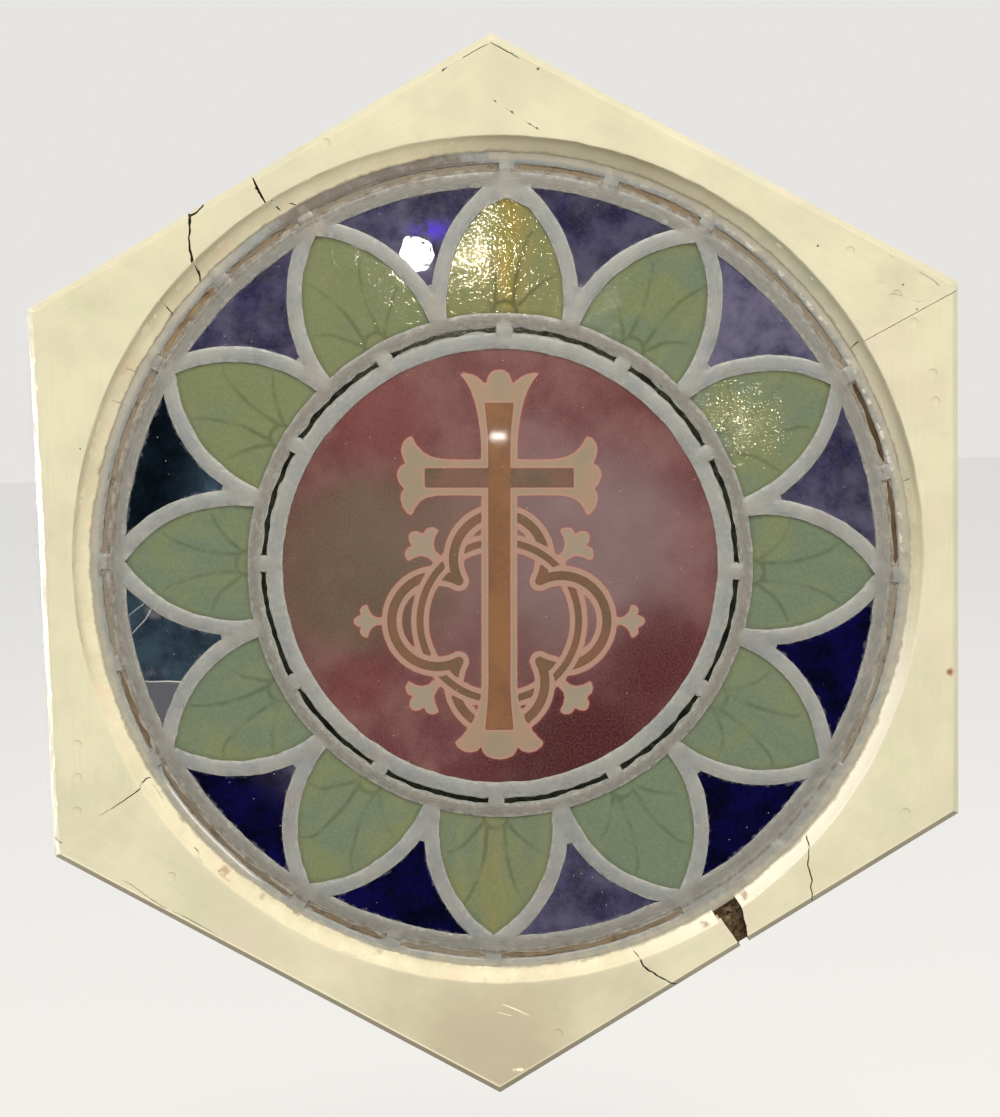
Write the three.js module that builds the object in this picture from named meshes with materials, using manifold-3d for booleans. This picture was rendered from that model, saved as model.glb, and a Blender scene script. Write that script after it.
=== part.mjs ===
// Leaded glass window with a rose of twelve petals, in a six-sided painted timber frame.
//
// Millimetres, +Z up. The front faces -Y and +X is on the right seen from the front.
// The origin lies on the flat back of the frame, on the timber above the glass, where a wall plate
// or clip holds the window; the glass hangs below it. Angles of the rose are in degrees, clockwise
// from the top seen from the front.

import * as THREE from "three";
import { mergeVertices } from "three/addons/utils/BufferGeometryUtils.js";
import Module from "manifold-3d";

const wasm = await Module();
wasm.setup();

// ---- driving dimensions -------------------------------------------------------------------------

const CENTRE_DROP = 346; // the rose's centre below the origin

// Frame: a facing of four quarter pieces on a backing made in one ring.
const BACKING_THICKNESS = 29;
const FACING_THICKNESS = 15;
const SIGHT_RADIUS = 297; // opening in the backing; the leaded light rests on its shoulder
const REBATE_RADIUS = 310; // opening in the facing
const EDGE_CHAMFER = 5;
// The six sides, each as [direction of its outward normal, distance from the rose's centre]. They
// were sawn by hand, so no two are quite alike.
const SIDES = [
  [29.1, 340.5], [90.3, 338.2], [149.5, 337.0], [210.1, 349.1], [269.8, 339.5], [331.2, 338.0],
];
// Where each facing piece starts and ends, as [angle at the opening, angle at the outer edge]. The
// right and bottom pieces have shrunk apart and leave an open wedge between them.
const CUT_RADII = [REBATE_RADIUS, 340];
const FACINGS = {
  facing_top: { from: [328.9, 329.4], to: [419.4, 419.7] },
  facing_right: { from: [59.5, 59.8], to: [146.1, 148.25] },
  facing_bottom: { from: [149.3, 149.05], to: [239.2, 238.9] },
  facing_left: { from: [239.3, 239.0], to: [328.8, 329.3] },
};

// Leaded light: H-section lead with the glass 3 mm into the grooves.
const LEAD_THICKNESS = 6;
const LEAD_FLANGE = 1.2;
const LEAD_RADIUS = 305;
const GLASS_THICKNESS = 3;
const GLASS_BITE = 3; // how far the glass goes into the lead past its visible edge
const PLAY = 0.3;

// Rose: the visible edges of the glass.
const ROSE_TURN = 2.5; // the rose stands turned clockwise in its frame
const PETALS = 12;
const STEP = 360 / PETALS;
const ROUNDEL_RADIUS = 161.5;
const INNER_STRIP = [172.5, 178]; // radii of the dark strips round the roundel
const INNER_BAR = 10.8; // width of the lead bars between them
const PETAL_BASE = 187.3;
const PETAL_ARC = 99.3; // each side of a petal is an arc about a point beyond its other side
const PETAL_ARC_CENTRE = { across: 56.2, out: 196.4 };
const PETAL_CAME = 10.9; // width of the lead that follows a petal
const SPANDREL_TOP = 279;
const SPANDREL_FOOT = 214; // solder fills the crotch of the leads below this
const BORDER_STRIP = [289.2, 295.8];
const BORDER_BAR = 11;
// The border strips of each twelfth, clockwise from the top: whole, in two halves, or none where the
// channel was filled with lead and solder in a repair.
const BORDER_PLAN = [2, 1, 2, 1, 0, 1, 2, 1, 2, 1, 2, 1];

// Putty: a fillet from the facing's arris down to the lead, lost where the wedge is open.
const PUTTY_LAP = 4; // how far the putty laps over the lead
const PUTTY_LOSS = { from: [145.7, 145.9], to: [149.6, 149.6] };

// ---- levels along Y, back to front -------------------------------------------------------------

const FRONT = -(BACKING_THICKNESS + FACING_THICKNESS);
const LEAD_BACK = -(BACKING_THICKNESS + PLAY);
const LEAD_FRONT = LEAD_BACK - LEAD_THICKNESS;
const GLASS_BACK = LEAD_BACK - (LEAD_THICKNESS - GLASS_THICKNESS) / 2;
const GLASS_FRONT = GLASS_BACK - GLASS_THICKNESS;

const ROUND = 48; // sides of a full circle

// ---- plane figures: lists of [x, z] about the rose's centre --------------------------------------

const rad = THREE.MathUtils.degToRad;
const polar = (radius, angle) => [radius * Math.sin(rad(angle)), radius * Math.cos(rad(angle))];

// Turns a figure drawn with its axis straight up so that the axis points at the angle.
function turned(outline, angle) {
  const s = Math.sin(rad(angle));
  const c = Math.cos(rad(angle));
  return outline.map(([x, z]) => [x * c + z * s, z * c - x * s]);
}

function arc(centre, radius, start, end, pieces) {
  const points = [];
  for (let i = 0; i <= pieces; i += 1) {
    const a = start + ((end - start) * i) / pieces;
    points.push([centre[0] + radius * Math.cos(a), centre[1] + radius * Math.sin(a)]);
  }
  return points;
}

function circle(radius) {
  return Array.from({ length: ROUND }, (_, i) => polar(radius, (-360 * i) / ROUND));
}

// Angle, seen from an arc's centre at [x, z], of the point where the arc meets a circle about the
// rose's centre. Of the two crossings it is the one on the outer side.
function angleWhereArcMeets(centre, radius, circleRadius) {
  const distance = Math.hypot(centre[0], centre[1]);
  const cosine = (circleRadius ** 2 - distance ** 2 - radius ** 2) / (2 * distance * radius);
  return Math.atan2(centre[1], centre[0]) - Math.acos(cosine);
}

const mirrored = (points) => points.map(([x, z]) => [-x, z]).reverse();

// Moves every side of a figure outward by the same distance, with mitred corners. The figure runs
// anticlockwise.
function grown(outline, distance) {
  return outline.map((point, i) => {
    const before = outline[(i + outline.length - 1) % outline.length];
    const after = outline[(i + 1) % outline.length];
    const n1 = new THREE.Vector2(point[1] - before[1], before[0] - point[0]).normalize();
    const n2 = new THREE.Vector2(after[1] - point[1], point[0] - after[0]).normalize();
    const stretch = distance / (1 + n1.dot(n2));
    return [point[0] + (n1.x + n2.x) * stretch, point[1] + (n1.y + n2.y) * stretch];
  });
}

// A petal with its axis up: a curved base, and two arcs that meet in a point.
function petalOutline() {
  const { across, out } = PETAL_ARC_CENTRE;
  const centre = [-across, out];
  const foot = angleWhereArcMeets(centre, PETAL_ARC, PETAL_BASE);
  const tip = Math.acos(across / PETAL_ARC);
  const rightSide = arc(centre, PETAL_ARC, foot, tip, 5);
  const corner = Math.atan2(rightSide[0][1], rightSide[0][0]);
  const base = arc([0, 0], PETAL_BASE, Math.PI - corner, corner, 3);
  return [...base.slice(0, -1), ...rightSide, ...mirrored(rightSide).slice(1, -1)];
}

// The space between two petals, axis up: its sides bend inwards, following the leads of the petals,
// and solder cuts its foot short.
function spandrelOutline() {
  const radius = PETAL_ARC + PETAL_CAME;
  const { across, out } = PETAL_ARC_CENTRE;
  const [centre] = turned([[-across, out]], -STEP / 2);
  const foot = angleWhereArcMeets(centre, radius, SPANDREL_FOOT);
  const top = angleWhereArcMeets(centre, radius, SPANDREL_TOP);
  const left = arc(centre, radius, foot, top, 3);
  const right = left.map(([x, z]) => [-x, z]);
  const corner = Math.atan2(right[3][1], right[3][0]);
  const head = arc([0, 0], SPANDREL_TOP, corner, Math.PI - corner, 3);
  return [...right, ...head.slice(1, -1), ...left.reverse()];
}

// A strip bent round the rose's centre, between two radii and two angles.
function stripOutline([inner, outer], start, end) {
  const pieces = Math.round((end - start) / 7);
  const along = (i) => start + ((end - start) * i) / pieces;
  const points = [];
  for (let i = pieces; i >= 0; i -= 1) points.push(polar(outer, along(i)));
  for (let i = 0; i <= pieces; i += 1) points.push(polar(inner, along(i)));
  return points;
}

// The frame's outline: each corner is where two neighbouring sides cross.
function frameOutline() {
  return SIDES.map(([angle, distance], i) => {
    const [nextAngle, nextDistance] = SIDES[(i + 1) % SIDES.length];
    const [ax, az] = polar(1, angle);
    const [bx, bz] = polar(1, nextAngle);
    const cross = ax * bz - az * bx;
    return [(distance * bz - nextDistance * az) / cross, (ax * nextDistance - bx * distance) / cross];
  }).reverse();
}

// ---- solids ---------------------------------------------------------------------------------------

// A plate with the figure as its outline, from a front level to a back level along Y.
function plate(outline, front, back, bevel = 0) {
  const shape = new THREE.Shape(outline.map(([x, z]) => new THREE.Vector2(x, z)));
  const geometry = new THREE.ExtrudeGeometry(shape, {
    depth: back - front - 2 * bevel,
    bevelEnabled: bevel > 0,
    bevelThickness: bevel,
    bevelSize: bevel,
    bevelOffset: -bevel,
    bevelSegments: 1,
  });
  geometry.rotateX(Math.PI / 2);
  return geometry.translate(0, back - bevel, 0);
}

function solid(geometry) {
  const bare = geometry.clone();
  bare.deleteAttribute("normal");
  bare.deleteAttribute("uv");
  const merged = mergeVertices(bare, 1e-4);
  return new wasm.Manifold(new wasm.Mesh({
    numProp: 3,
    vertProperties: new Float32Array(merged.attributes.position.array),
    triVerts: new Uint32Array(merged.index.array),
  }));
}

function geometryOf(body) {
  const mesh = body.getMesh();
  const geometry = new THREE.BufferGeometry();
  geometry.setAttribute("position", new THREE.BufferAttribute(mesh.vertProperties, 3));
  geometry.setIndex(new THREE.BufferAttribute(mesh.triVerts, 1));
  const flat = geometry.toNonIndexed();
  flat.computeVertexNormals();
  return flat;
}

// A wedge about the rose's axis, wide enough to hold everything between two cuts. Each cut is given
// by its angles at the two cut radii, so it need not point at the centre.
function wedge(from, to, front, back) {
  const cutEnds = ([atOpening, atEdge]) => {
    const a = polar(CUT_RADII[0], atOpening);
    const b = polar(CUT_RADII[1], atEdge);
    const at = (k) => [a[0] + (b[0] - a[0]) * k, a[1] + (b[1] - a[1]) * k];
    return [at(-2), at(6)];
  };
  const [startIn, startOut] = cutEnds(from);
  const [endIn, endOut] = cutEnds(to);
  const far = [];
  for (let i = 3; i >= 1; i -= 1) far.push(polar(700, from[0] + ((to[0] - from[0]) * i) / 4));
  return plate([endIn, endOut, ...far, startOut, startIn, polar(120, (from[0] + to[0]) / 2)], front, back);
}

function facings() {
  const blank = solid(plate(frameOutline(), FRONT, -EDGE_CHAMFER, EDGE_CHAMFER));
  const opening = solid(plate(circle(REBATE_RADIUS), FRONT - 1, 1));
  const ring = blank.subtract(opening);
  return Object.entries(FACINGS).map(([name, { from, to }]) => [
    name,
    geometryOf(ring.intersect(solid(wedge(from, to, FRONT - 1, -(BACKING_THICKNESS + PLAY))))),
  ]);
}

function backing() {
  const opening = solid(plate(circle(SIGHT_RADIUS), -BACKING_THICKNESS - 1, 1));
  return geometryOf(solid(plate(frameOutline(), -BACKING_THICKNESS, 0)).subtract(opening));
}

function puttyFillet() {
  const outer = REBATE_RADIUS - 1;
  const lap = LEAD_RADIUS - PUTTY_LAP;
  const clear = LEAD_RADIUS + PLAY;
  const face = LEAD_FRONT - PLAY;
  const profile = [
    [outer, LEAD_BACK], [clear, LEAD_BACK], [clear, face], [lap, face], [lap, face - 0.8],
    [outer, FRONT + 0.3], [outer, LEAD_BACK],
  ];
  const ring = new THREE.LatheGeometry(profile.map(([r, y]) => new THREE.Vector2(r, y)), ROUND);
  const { from, to } = PUTTY_LOSS;
  return geometryOf(solid(ring).subtract(solid(wedge(from, to, FRONT - 1, 0))));
}

// ---- the leaded light ------------------------------------------------------------------------------

// Every pane's visible outline, named.
function paneOutlines() {
  const number = (i) => String(i + 1).padStart(2, "0");
  const panes = [["centre_roundel", circle(ROUNDEL_RADIUS)]];
  const add = (name, outline, angle) => panes.push([name, turned(outline, ROSE_TURN + angle)]);
  const halfAngle = (width, [inner, outer]) =>
    THREE.MathUtils.radToDeg(width / (inner + outer));
  const innerBar = halfAngle(INNER_BAR, INNER_STRIP);
  const borderBar = halfAngle(BORDER_BAR, BORDER_STRIP);
  for (let i = 0; i < PETALS; i += 1) add(`petal_${number(i)}`, petalOutline(), i * STEP);
  for (let i = 0; i < PETALS; i += 1) add(`spandrel_${number(i)}`, spandrelOutline(), (i + 0.5) * STEP);
  for (let i = 0; i < PETALS; i += 1) {
    add(`inner_strip_${number(i)}`, stripOutline(INNER_STRIP, innerBar, STEP - innerBar), i * STEP);
  }
  let count = 0;
  BORDER_PLAN.forEach((strips, i) => {
    const length = STEP / strips;
    for (let j = 0; j < strips; j += 1) {
      const outline = stripOutline(BORDER_STRIP, borderBar, length - borderBar);
      add(`border_strip_${number(count)}`, outline, i * STEP + j * length);
      count += 1;
    }
  });
  return panes;
}

// One lead lattice: a disc, cut through where the glass shows, with a groove for each pane's edge.
function leadLattice(panes) {
  let lattice = solid(plate(circle(LEAD_RADIUS), LEAD_FRONT, LEAD_BACK));
  for (const [, outline] of panes) {
    const light = plate(outline, LEAD_FRONT - 1, LEAD_BACK + 1);
    const groove = plate(grown(outline, GLASS_BITE + PLAY), GLASS_FRONT - PLAY, GLASS_BACK + PLAY);
    lattice = lattice.subtract(solid(light)).subtract(solid(groove));
  }
  return geometryOf(lattice);
}

// ---- the window ------------------------------------------------------------------------------------

const material = (color, roughness, metalness = 0, opacity = 1) =>
  new THREE.MeshStandardMaterial({ color, roughness, metalness, opacity, transparent: opacity < 1 });

const paint = material(0xd9d3b6, 0.55);
const bareTimber = material(0x6d5a43, 0.9);
const putty = material(0xcdc8b0, 0.75);
const lead = material(0x8e8f92, 0.55, 0.6);
const glass = {
  centre: material(0x6d2a33, 0.25, 0, 0.9),
  petal: material(0x76885a, 0.2, 0, 0.85),
  spandrel: material(0x1d1a58, 0.2, 0, 0.9),
  inner: material(0x14180f, 0.3, 0, 0.95),
  border: material(0x94794a, 0.4, 0, 0.9),
};

const rose = new THREE.Group();
const window = new THREE.Group();
window.add(rose);
rose.position.z = -CENTRE_DROP;

function place(name, geometry, look) {
  const mesh = new THREE.Mesh(geometry, look);
  mesh.name = name;
  rose.add(mesh);
}

for (const [name, geometry] of facings()) place(name, geometry, paint);
place("backing_ring", backing(), bareTimber);
place("putty_fillet", puttyFillet(), putty);
const panes = paneOutlines();
place("lead_lattice", leadLattice(panes), lead);
for (const [name, outline] of panes) {
  const pane = plate(grown(outline, GLASS_BITE), GLASS_FRONT, GLASS_BACK);
  place(name, pane, glass[name.split("_")[0]]);
}

export default window;
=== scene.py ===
import math

import bpy
import numpy as np
from mathutils import Matrix, Vector
from mathutils.geometry import delaunay_2d_cdt
from mathutils.kdtree import KDTree


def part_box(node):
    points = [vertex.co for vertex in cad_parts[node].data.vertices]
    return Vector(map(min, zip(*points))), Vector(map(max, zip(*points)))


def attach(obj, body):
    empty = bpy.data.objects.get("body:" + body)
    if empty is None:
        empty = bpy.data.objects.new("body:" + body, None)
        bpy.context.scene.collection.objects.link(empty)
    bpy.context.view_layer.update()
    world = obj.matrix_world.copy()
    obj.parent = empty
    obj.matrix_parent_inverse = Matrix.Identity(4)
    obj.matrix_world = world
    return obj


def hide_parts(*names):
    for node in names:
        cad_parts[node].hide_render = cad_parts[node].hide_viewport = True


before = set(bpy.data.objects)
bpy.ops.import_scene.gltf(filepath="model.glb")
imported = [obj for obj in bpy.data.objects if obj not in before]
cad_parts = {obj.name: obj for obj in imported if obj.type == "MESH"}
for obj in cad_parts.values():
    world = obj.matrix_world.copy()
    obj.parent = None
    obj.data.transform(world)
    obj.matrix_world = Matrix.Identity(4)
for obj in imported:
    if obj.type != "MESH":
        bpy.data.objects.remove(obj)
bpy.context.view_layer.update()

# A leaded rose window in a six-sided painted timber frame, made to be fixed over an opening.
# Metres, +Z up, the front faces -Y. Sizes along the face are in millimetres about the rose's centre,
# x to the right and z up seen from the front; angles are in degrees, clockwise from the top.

# ==== The backing ring ==========================
# A six-sided ring of softwood, glued up from six boards and sawn by hand, with a round opening. Its
# front shoulder carries the leaded light; its edge has the frame's paint and its back is bare.

MM = 0.001
rose_low, rose_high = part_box("centre_roundel")
rose_centre = (rose_low + rose_high) / 2


def polar(radius, angle):
    """Points at a radius and an angle clockwise from the top."""
    angle = np.radians(angle)
    return np.stack(np.broadcast_arrays(radius * np.sin(angle), radius * np.cos(angle)), -1)


def radius_of(flat):
    return np.hypot(flat[:, 0], flat[:, 1])


def angle_of(flat):
    return np.degrees(np.arctan2(flat[:, 0], flat[:, 1])) % 360


def waves(flat, length, seed):
    """Smooth unevenness of hand work, about -1 to 1, with its swells a given length apart."""
    draw = np.random.default_rng(seed)
    total = np.zeros(len(flat))
    for _ in range(9):
        turn = draw.uniform(0, 2 * np.pi)
        pace = 2 * np.pi / (length * draw.uniform(0.7, 1.6))
        along = flat[:, 0] * np.cos(turn) + flat[:, 1] * np.sin(turn)
        total += np.sin(along * pace + draw.uniform(0, 2 * np.pi))
    return total / 4.5


def steps(start, end, spacing):
    """Points along a straight line, no further apart than the spacing."""
    start, end = np.asarray(start, float), np.asarray(end, float)
    count = max(1, int(np.ceil(np.linalg.norm(end - start) / spacing)))
    return start + (end - start) * np.linspace(0, 1, count + 1)[:, None]


def along_path(corners, spacing):
    runs = [steps(a, b, spacing)[:-1] for a, b in zip(corners[:-1], corners[1:])]
    return np.concatenate(runs + [np.asarray(corners[-1:], float)])


def ring_line(radius, spacing=3.0, start=0.0, end=360.0):
    count = max(2, int(np.ceil(radius * math.radians(end - start) / spacing)))
    return polar(radius, np.linspace(start, end, count + 1))


# Each side of the hexagon: the direction of its outward normal, and its distance from the centre.
SIDES = [(29.1, 340.5), (90.3, 338.2), (149.5, 337.0), (210.1, 349.1), (269.8, 339.5), (331.2, 338.0)]
side_normals = np.array([polar(1.0, angle) for angle, _ in SIDES])
side_distances = np.array([distance for _, distance in SIDES])


def hexagon(inset=0.0):
    """The frame's corners, moved in from its edge; the first comes again at the end."""
    corners = []
    for i in range(6):
        pair = side_normals[[i, (i + 1) % 6]]
        corners.append(np.linalg.solve(pair, side_distances[[i, (i + 1) % 6]] - inset))
    return np.array(corners + corners[:1])


def edge_distance(flat):
    """How far in from the frame's edge each point lies."""
    return (side_distances - flat @ side_normals.T).min(1)


def lay_out(lines, spacing, keep, seed, dense=(), margin=0.55):
    """Covers a flat figure with triangles that follow the given lines, with loose points between
    them. Returns the points, the triangles and the directed edges round the figure."""
    draw = np.random.default_rng(seed)
    points, edges = [], []
    for line in lines:
        first = sum(len(p) for p in points)
        closed = np.allclose(line[0], line[-1])
        body = line[:-1] if closed else line
        points.append(body)
        ids = list(range(first, first + len(body)))
        edges += list(zip(ids[:-1], ids[1:]))
        if closed:
            edges.append((ids[-1], ids[0]))
    fixed = np.concatenate(points)
    low, high = fixed.min(0), fixed.max(0)
    pitch = spacing * 0.866
    rows, columns = np.arange(low[1], high[1], pitch), np.arange(low[0], high[0], spacing)
    grid_x, grid_z = np.meshgrid(columns, rows)
    grid_x = grid_x + (np.arange(len(rows)) % 2)[:, None] * spacing / 2
    loose = np.stack([grid_x.ravel(), grid_z.ravel()], -1)
    loose += draw.uniform(-0.12, 0.12, loose.shape) * spacing
    loose = loose[keep(loose)]
    tree = KDTree(len(fixed))
    for i, (x, z) in enumerate(fixed):
        tree.insert((x, z, 0), i)
    tree.balance()
    clear = [tree.find((x, z, 0))[2] > spacing * margin for x, z in loose]
    cloud = np.concatenate([fixed, loose[np.array(clear, bool)], *[np.asarray(d) for d in dense]])
    out = delaunay_2d_cdt([Vector(p) for p in cloud], edges, [], 0, 1e-4, False)
    flat = np.array(out[0], float).reshape(-1, 2)
    faces = np.array(out[2], int)
    a, b, c = (flat[faces[:, i]] for i in range(3))
    area = (b[:, 0] - a[:, 0]) * (c[:, 1] - a[:, 1]) - (b[:, 1] - a[:, 1]) * (c[:, 0] - a[:, 0])
    faces[area < 0] = faces[area < 0][:, ::-1]
    faces = faces[keep((a + b + c) / 3) & (abs(area) > 1e-6)]
    used, faces = np.unique(faces, return_inverse=True)
    faces = faces.reshape(-1, 3)
    directed = np.concatenate([faces[:, [0, 1]], faces[:, [1, 2]], faces[:, [2, 0]]])
    both = set(map(tuple, directed))
    rim = np.array([e for e in map(tuple, directed) if (e[1], e[0]) not in both], int)
    return flat[used], faces, rim


def in_place(flat, y):
    """Flat points in millimetres about the rose's centre, and levels in metres, as 3-D points."""
    return np.stack([flat[:, 0] * MM, y, flat[:, 1] * MM + rose_centre.z], -1)


def two_faced(flat, faces, rim, front, back):
    """A closed solid from a flat layout: a front sheet, a back sheet and the walls between them."""
    count = len(flat)
    points = np.concatenate([in_place(flat, front), in_place(flat, back)])
    walls = [(b, a, a + count, b + count) for a, b in rim]
    return points, [tuple(f) for f in faces] + [tuple(f[::-1] + count) for f in faces] + walls


def on_front(values):
    """A mark for a two-faced piece that only its front sheet has."""
    return np.concatenate([values, values * 0])


def placed(name, data):
    made = bpy.data.objects.new(name, data)
    bpy.context.scene.collection.objects.link(made)
    return made


def make_piece(name, points, faces, finish, marks=None, sharp=34.0):
    """Makes a mesh object, smooth but for its sharp edges. Marks are values kept at its points."""
    mesh = bpy.data.meshes.new(name)
    mesh.from_pydata(points.tolist() if hasattr(points, "tolist") else points, [], faces)
    for mark, values in (marks or {}).items():
        values = np.asarray(values, np.float32)
        kind, field = {1: ("FLOAT", "value"), 2: ("FLOAT_VECTOR", "vector")}[values.ndim]
        layer = mesh.attributes.new(mark, kind, "POINT")
        layer.data.foreach_set(field, values.ravel())
    mesh.shade_smooth()
    mesh.set_sharp_from_angle(angle=math.radians(sharp))
    mesh.materials.append(finish)
    return placed(name, mesh)


# How a finish is put together. Shades are given as 0 to 255 and turned into linear light. Each
# helper finds the node tree from the sockets that it is given.
def shade(red, green, blue):
    linear = [(v / 255 / 12.92) if v < 11 else ((v / 255 + 0.055) / 1.055) ** 2.4
              for v in (red, green, blue)]
    return (*linear, 1.0)


def tree_of(*values):
    return next(value.id_data for value in values if isinstance(value, bpy.types.NodeSocket))


def put(tree, kind, sockets=None, **settings):
    """Adds a shader node. An input given as a socket is linked, and anything else is set."""
    node = tree.nodes.new("ShaderNode" + kind)
    for key, value in settings.items():
        setattr(node, key, value)
    for key, value in (sockets or {}).items():
        if isinstance(value, bpy.types.NodeSocket):
            tree.links.new(value, node.inputs[key])
        else:
            node.inputs[key].default_value = value
    return node


def lay_over(mask, under, top):
    """The colour below, with the other laid over it where the mask is 1."""
    under, top = (shade(*tone) if isinstance(tone, tuple) else tone for tone in (under, top))
    return put(tree_of(mask, under, top), "Mix", {0: mask, 6: under, 7: top}, data_type="RGBA").outputs[2]


def coats(tone, *layers):
    """A colour with more laid over it in turn: each one's mask, its colour and how strong it is."""
    for mask, top, *strength in layers:
        tone = lay_over(times(mask, *strength) if strength else mask, tone, top)
    return tone


def ramp(value, low, high, start=0.0, end=1.0):
    """A soft step of a value: start at low, end at high."""
    sockets = {"Value": value, "From Min": low, "From Max": high, "To Min": start, "To Max": end}
    return put(value.id_data, "MapRange", sockets, interpolation_type="SMOOTHSTEP").outputs[0]


def maths(how, first, second=0.0):
    return put(tree_of(first, second), "Math", {0: first, 1: second}, operation=how).outputs[0]


def times(first, second):
    return maths("MULTIPLY", first, second)


def plus(first, second):
    return maths("ADD", first, second)


def minus(first, second):
    return maths("SUBTRACT", first, second)


def sway(value, much):
    """A pattern's swing about its middle, made larger or smaller."""
    return times(minus(value, 0.5), much)


def noise(where, scale, detail=3.0, rough=0.5, bend=0.0):
    """Cloudy variation, from its scale."""
    sockets = {"Vector": where, "Scale": scale, "Detail": detail, "Roughness": rough, "Distortion": bend}
    return put(where.id_data, "TexNoise", sockets).outputs["Fac"]


def mottle(where, size, detail=3.0, rough=0.55, bend=0.0):
    """Cloudy variation whose patches are about the given size in millimetres."""
    return noise(where, 1 / (size * MM), detail, rough, bend)


def shifted(where, x, z):
    """The same place moved aside, so that a pattern there differs."""
    return put(where.id_data, "VectorMath", {0: where, 1: (x, 0.0, z)}, operation="ADD").outputs[0]


def stretched(where, factors):
    """The place scaled along each axis, so that a pattern there is drawn out."""
    return put(where.id_data, "VectorMath", {0: where, 1: factors}, operation="MULTIPLY").outputs[0]


def mark_of(tree, name, vector=False):
    """A value, or a vector, kept at the mesh's points."""
    node = put(tree, "Attribute", attribute_name=name)
    return node.outputs["Vector" if vector else "Fac"]


def face_normal(tree):
    """The three parts of the direction that the surface faces."""
    return put(tree, "SeparateXYZ", {0: put(tree, "NewGeometry").outputs["Normal"]}).outputs


def new_finish(name):
    """A material with its shader, and the place on the object that its patterns start from."""
    finish = bpy.data.materials.new(name)
    finish.use_nodes = True
    tree = finish.node_tree
    shader = tree.nodes["Principled BSDF"]
    where = put(tree, "TexCoord").outputs["Object"]
    return finish, tree, shader, where


def feed(shader, colour=None, roughness=None, height=None, depth=1.0, strength=1.0):
    """Links a colour, a roughness and a relief, whose full height is depth in mm, to the shader."""
    tree = shader.id_data
    if colour is not None:
        tree.links.new(colour, shader.inputs["Base Color"])
    if roughness is not None:
        tree.links.new(roughness, shader.inputs["Roughness"])
    if height is not None:
        bump = put(tree, "Bump", {"Height": height, "Distance": depth * MM, "Strength": strength})
        tree.links.new(bump.outputs["Normal"], shader.inputs["Normal"])


def new_group(name, inputs, outputs):
    """A shared effect: a node group with named inputs and outputs."""
    group = bpy.data.node_groups.new(name, "ShaderNodeTree")
    kinds = {"vector": "NodeSocketVector", "colour": "NodeSocketColor", "value": "NodeSocketFloat"}
    for socket, (kind, default) in inputs.items():
        made = group.interface.new_socket(socket, in_out="INPUT", socket_type=kinds[kind])
        if default is not None:
            made.default_value = default
    for socket, kind in outputs.items():
        group.interface.new_socket(socket, in_out="OUTPUT", socket_type=kinds[kind])
    start = group.nodes.new("NodeGroupInput").outputs
    end = group.nodes.new("NodeGroupOutput").inputs
    return group, start, end


def effect(group, **sockets):
    """The outputs of a shared effect, from its inputs."""
    return put(tree_of(*sockets.values()), "Group", sockets, node_tree=group).outputs


# Grime: dirt that has gathered in patches, with a fine speckle in it.
grime, grime_in, grime_out = new_group(
    "grime", {"Where": ("vector", None), "Patch": ("value", 60.0), "Cover": ("value", 0.4),
              "Edge": ("value", 0.15)}, {"Mask": "value", "Speckle": "value"})
patches = noise(grime_in["Where"], grime_in["Patch"], 6.0, 0.62)
line = minus(1.0, grime_in["Cover"])
grime.links.new(ramp(patches, line, plus(line, grime_in["Edge"])), grime_out["Mask"])
speckle = noise(grime_in["Where"], 1400.0, 2.0)
grime.links.new(ramp(speckle, 0.52, 0.66), grime_out["Speckle"])

# Wood grain: long streaks along the board with darker rings, from a place given along and across.
grain, grain_in, grain_out = new_group(
    "grain", {"Board": ("vector", None), "Stretch": ("value", 14.0), "Scale": ("value", 260.0)},
    {"Streak": "value", "Figure": "value"})
squeeze = put(grain, "CombineXYZ", {0: maths("DIVIDE", 1.0, grain_in["Stretch"]), 1: 1.0, 2: 1.0})
drawn = stretched(grain_in["Board"], squeeze.outputs[0])
grain.links.new(noise(drawn, grain_in["Scale"], 5.0, 0.6), grain_out["Streak"])
figure = noise(drawn, times(grain_in["Scale"], 0.22), 3.0, bend=0.6)
grain.links.new(ramp(figure, 0.38, 0.62), grain_out["Figure"])

# Edge wear: finds the arrises, where handling rubs a finish thin, and breaks them up.
edge_wear, wear_in, wear_out = new_group(
    "edge_wear", {"Where": ("vector", None), "Reach": ("value", 0.06), "Break": ("value", 260.0)},
    {"Worn": "value", "Hollow": "value"})
bend_of = put(edge_wear, "NewGeometry").outputs["Pointiness"]
pushed = plus(bend_of, sway(noise(wear_in["Where"], wear_in["Break"], 4.0), 0.16))
reach, sunk = plus(0.5, wear_in["Reach"]), minus(0.5, wear_in["Reach"])
edge_wear.links.new(ramp(pushed, reach, plus(reach, 0.05)), wear_out["Worn"])
edge_wear.links.new(ramp(pushed, sunk, minus(sunk, 0.05)), wear_out["Hollow"])


def board_marks(flat, level, joints, seed):
    """For every point, its place along, across and through the board that it lies on, in metres.
    Joints are the angles where one board meets the next."""
    draw = np.random.default_rng(seed)
    angle = angle_of(flat)
    joints = sorted(j % 360 for j in joints)
    board = np.searchsorted(joints, angle) % len(joints)
    place = np.zeros((len(flat), 3))
    place[:, 2] = level
    for i in range(len(joints)):
        start, end = joints[i - 1], joints[i] + (360 if joints[i] < joints[i - 1] else 0)
        axis = polar(1.0, (start + end) / 2)
        mine = board == i
        offset = draw.uniform(0, 3, 2)
        place[mine, 0] = (flat[mine] @ np.array([axis[1], -axis[0]])) * MM + offset[0]
        place[mine, 1] = (flat[mine] @ axis) * MM + offset[1]
    return place


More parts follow.
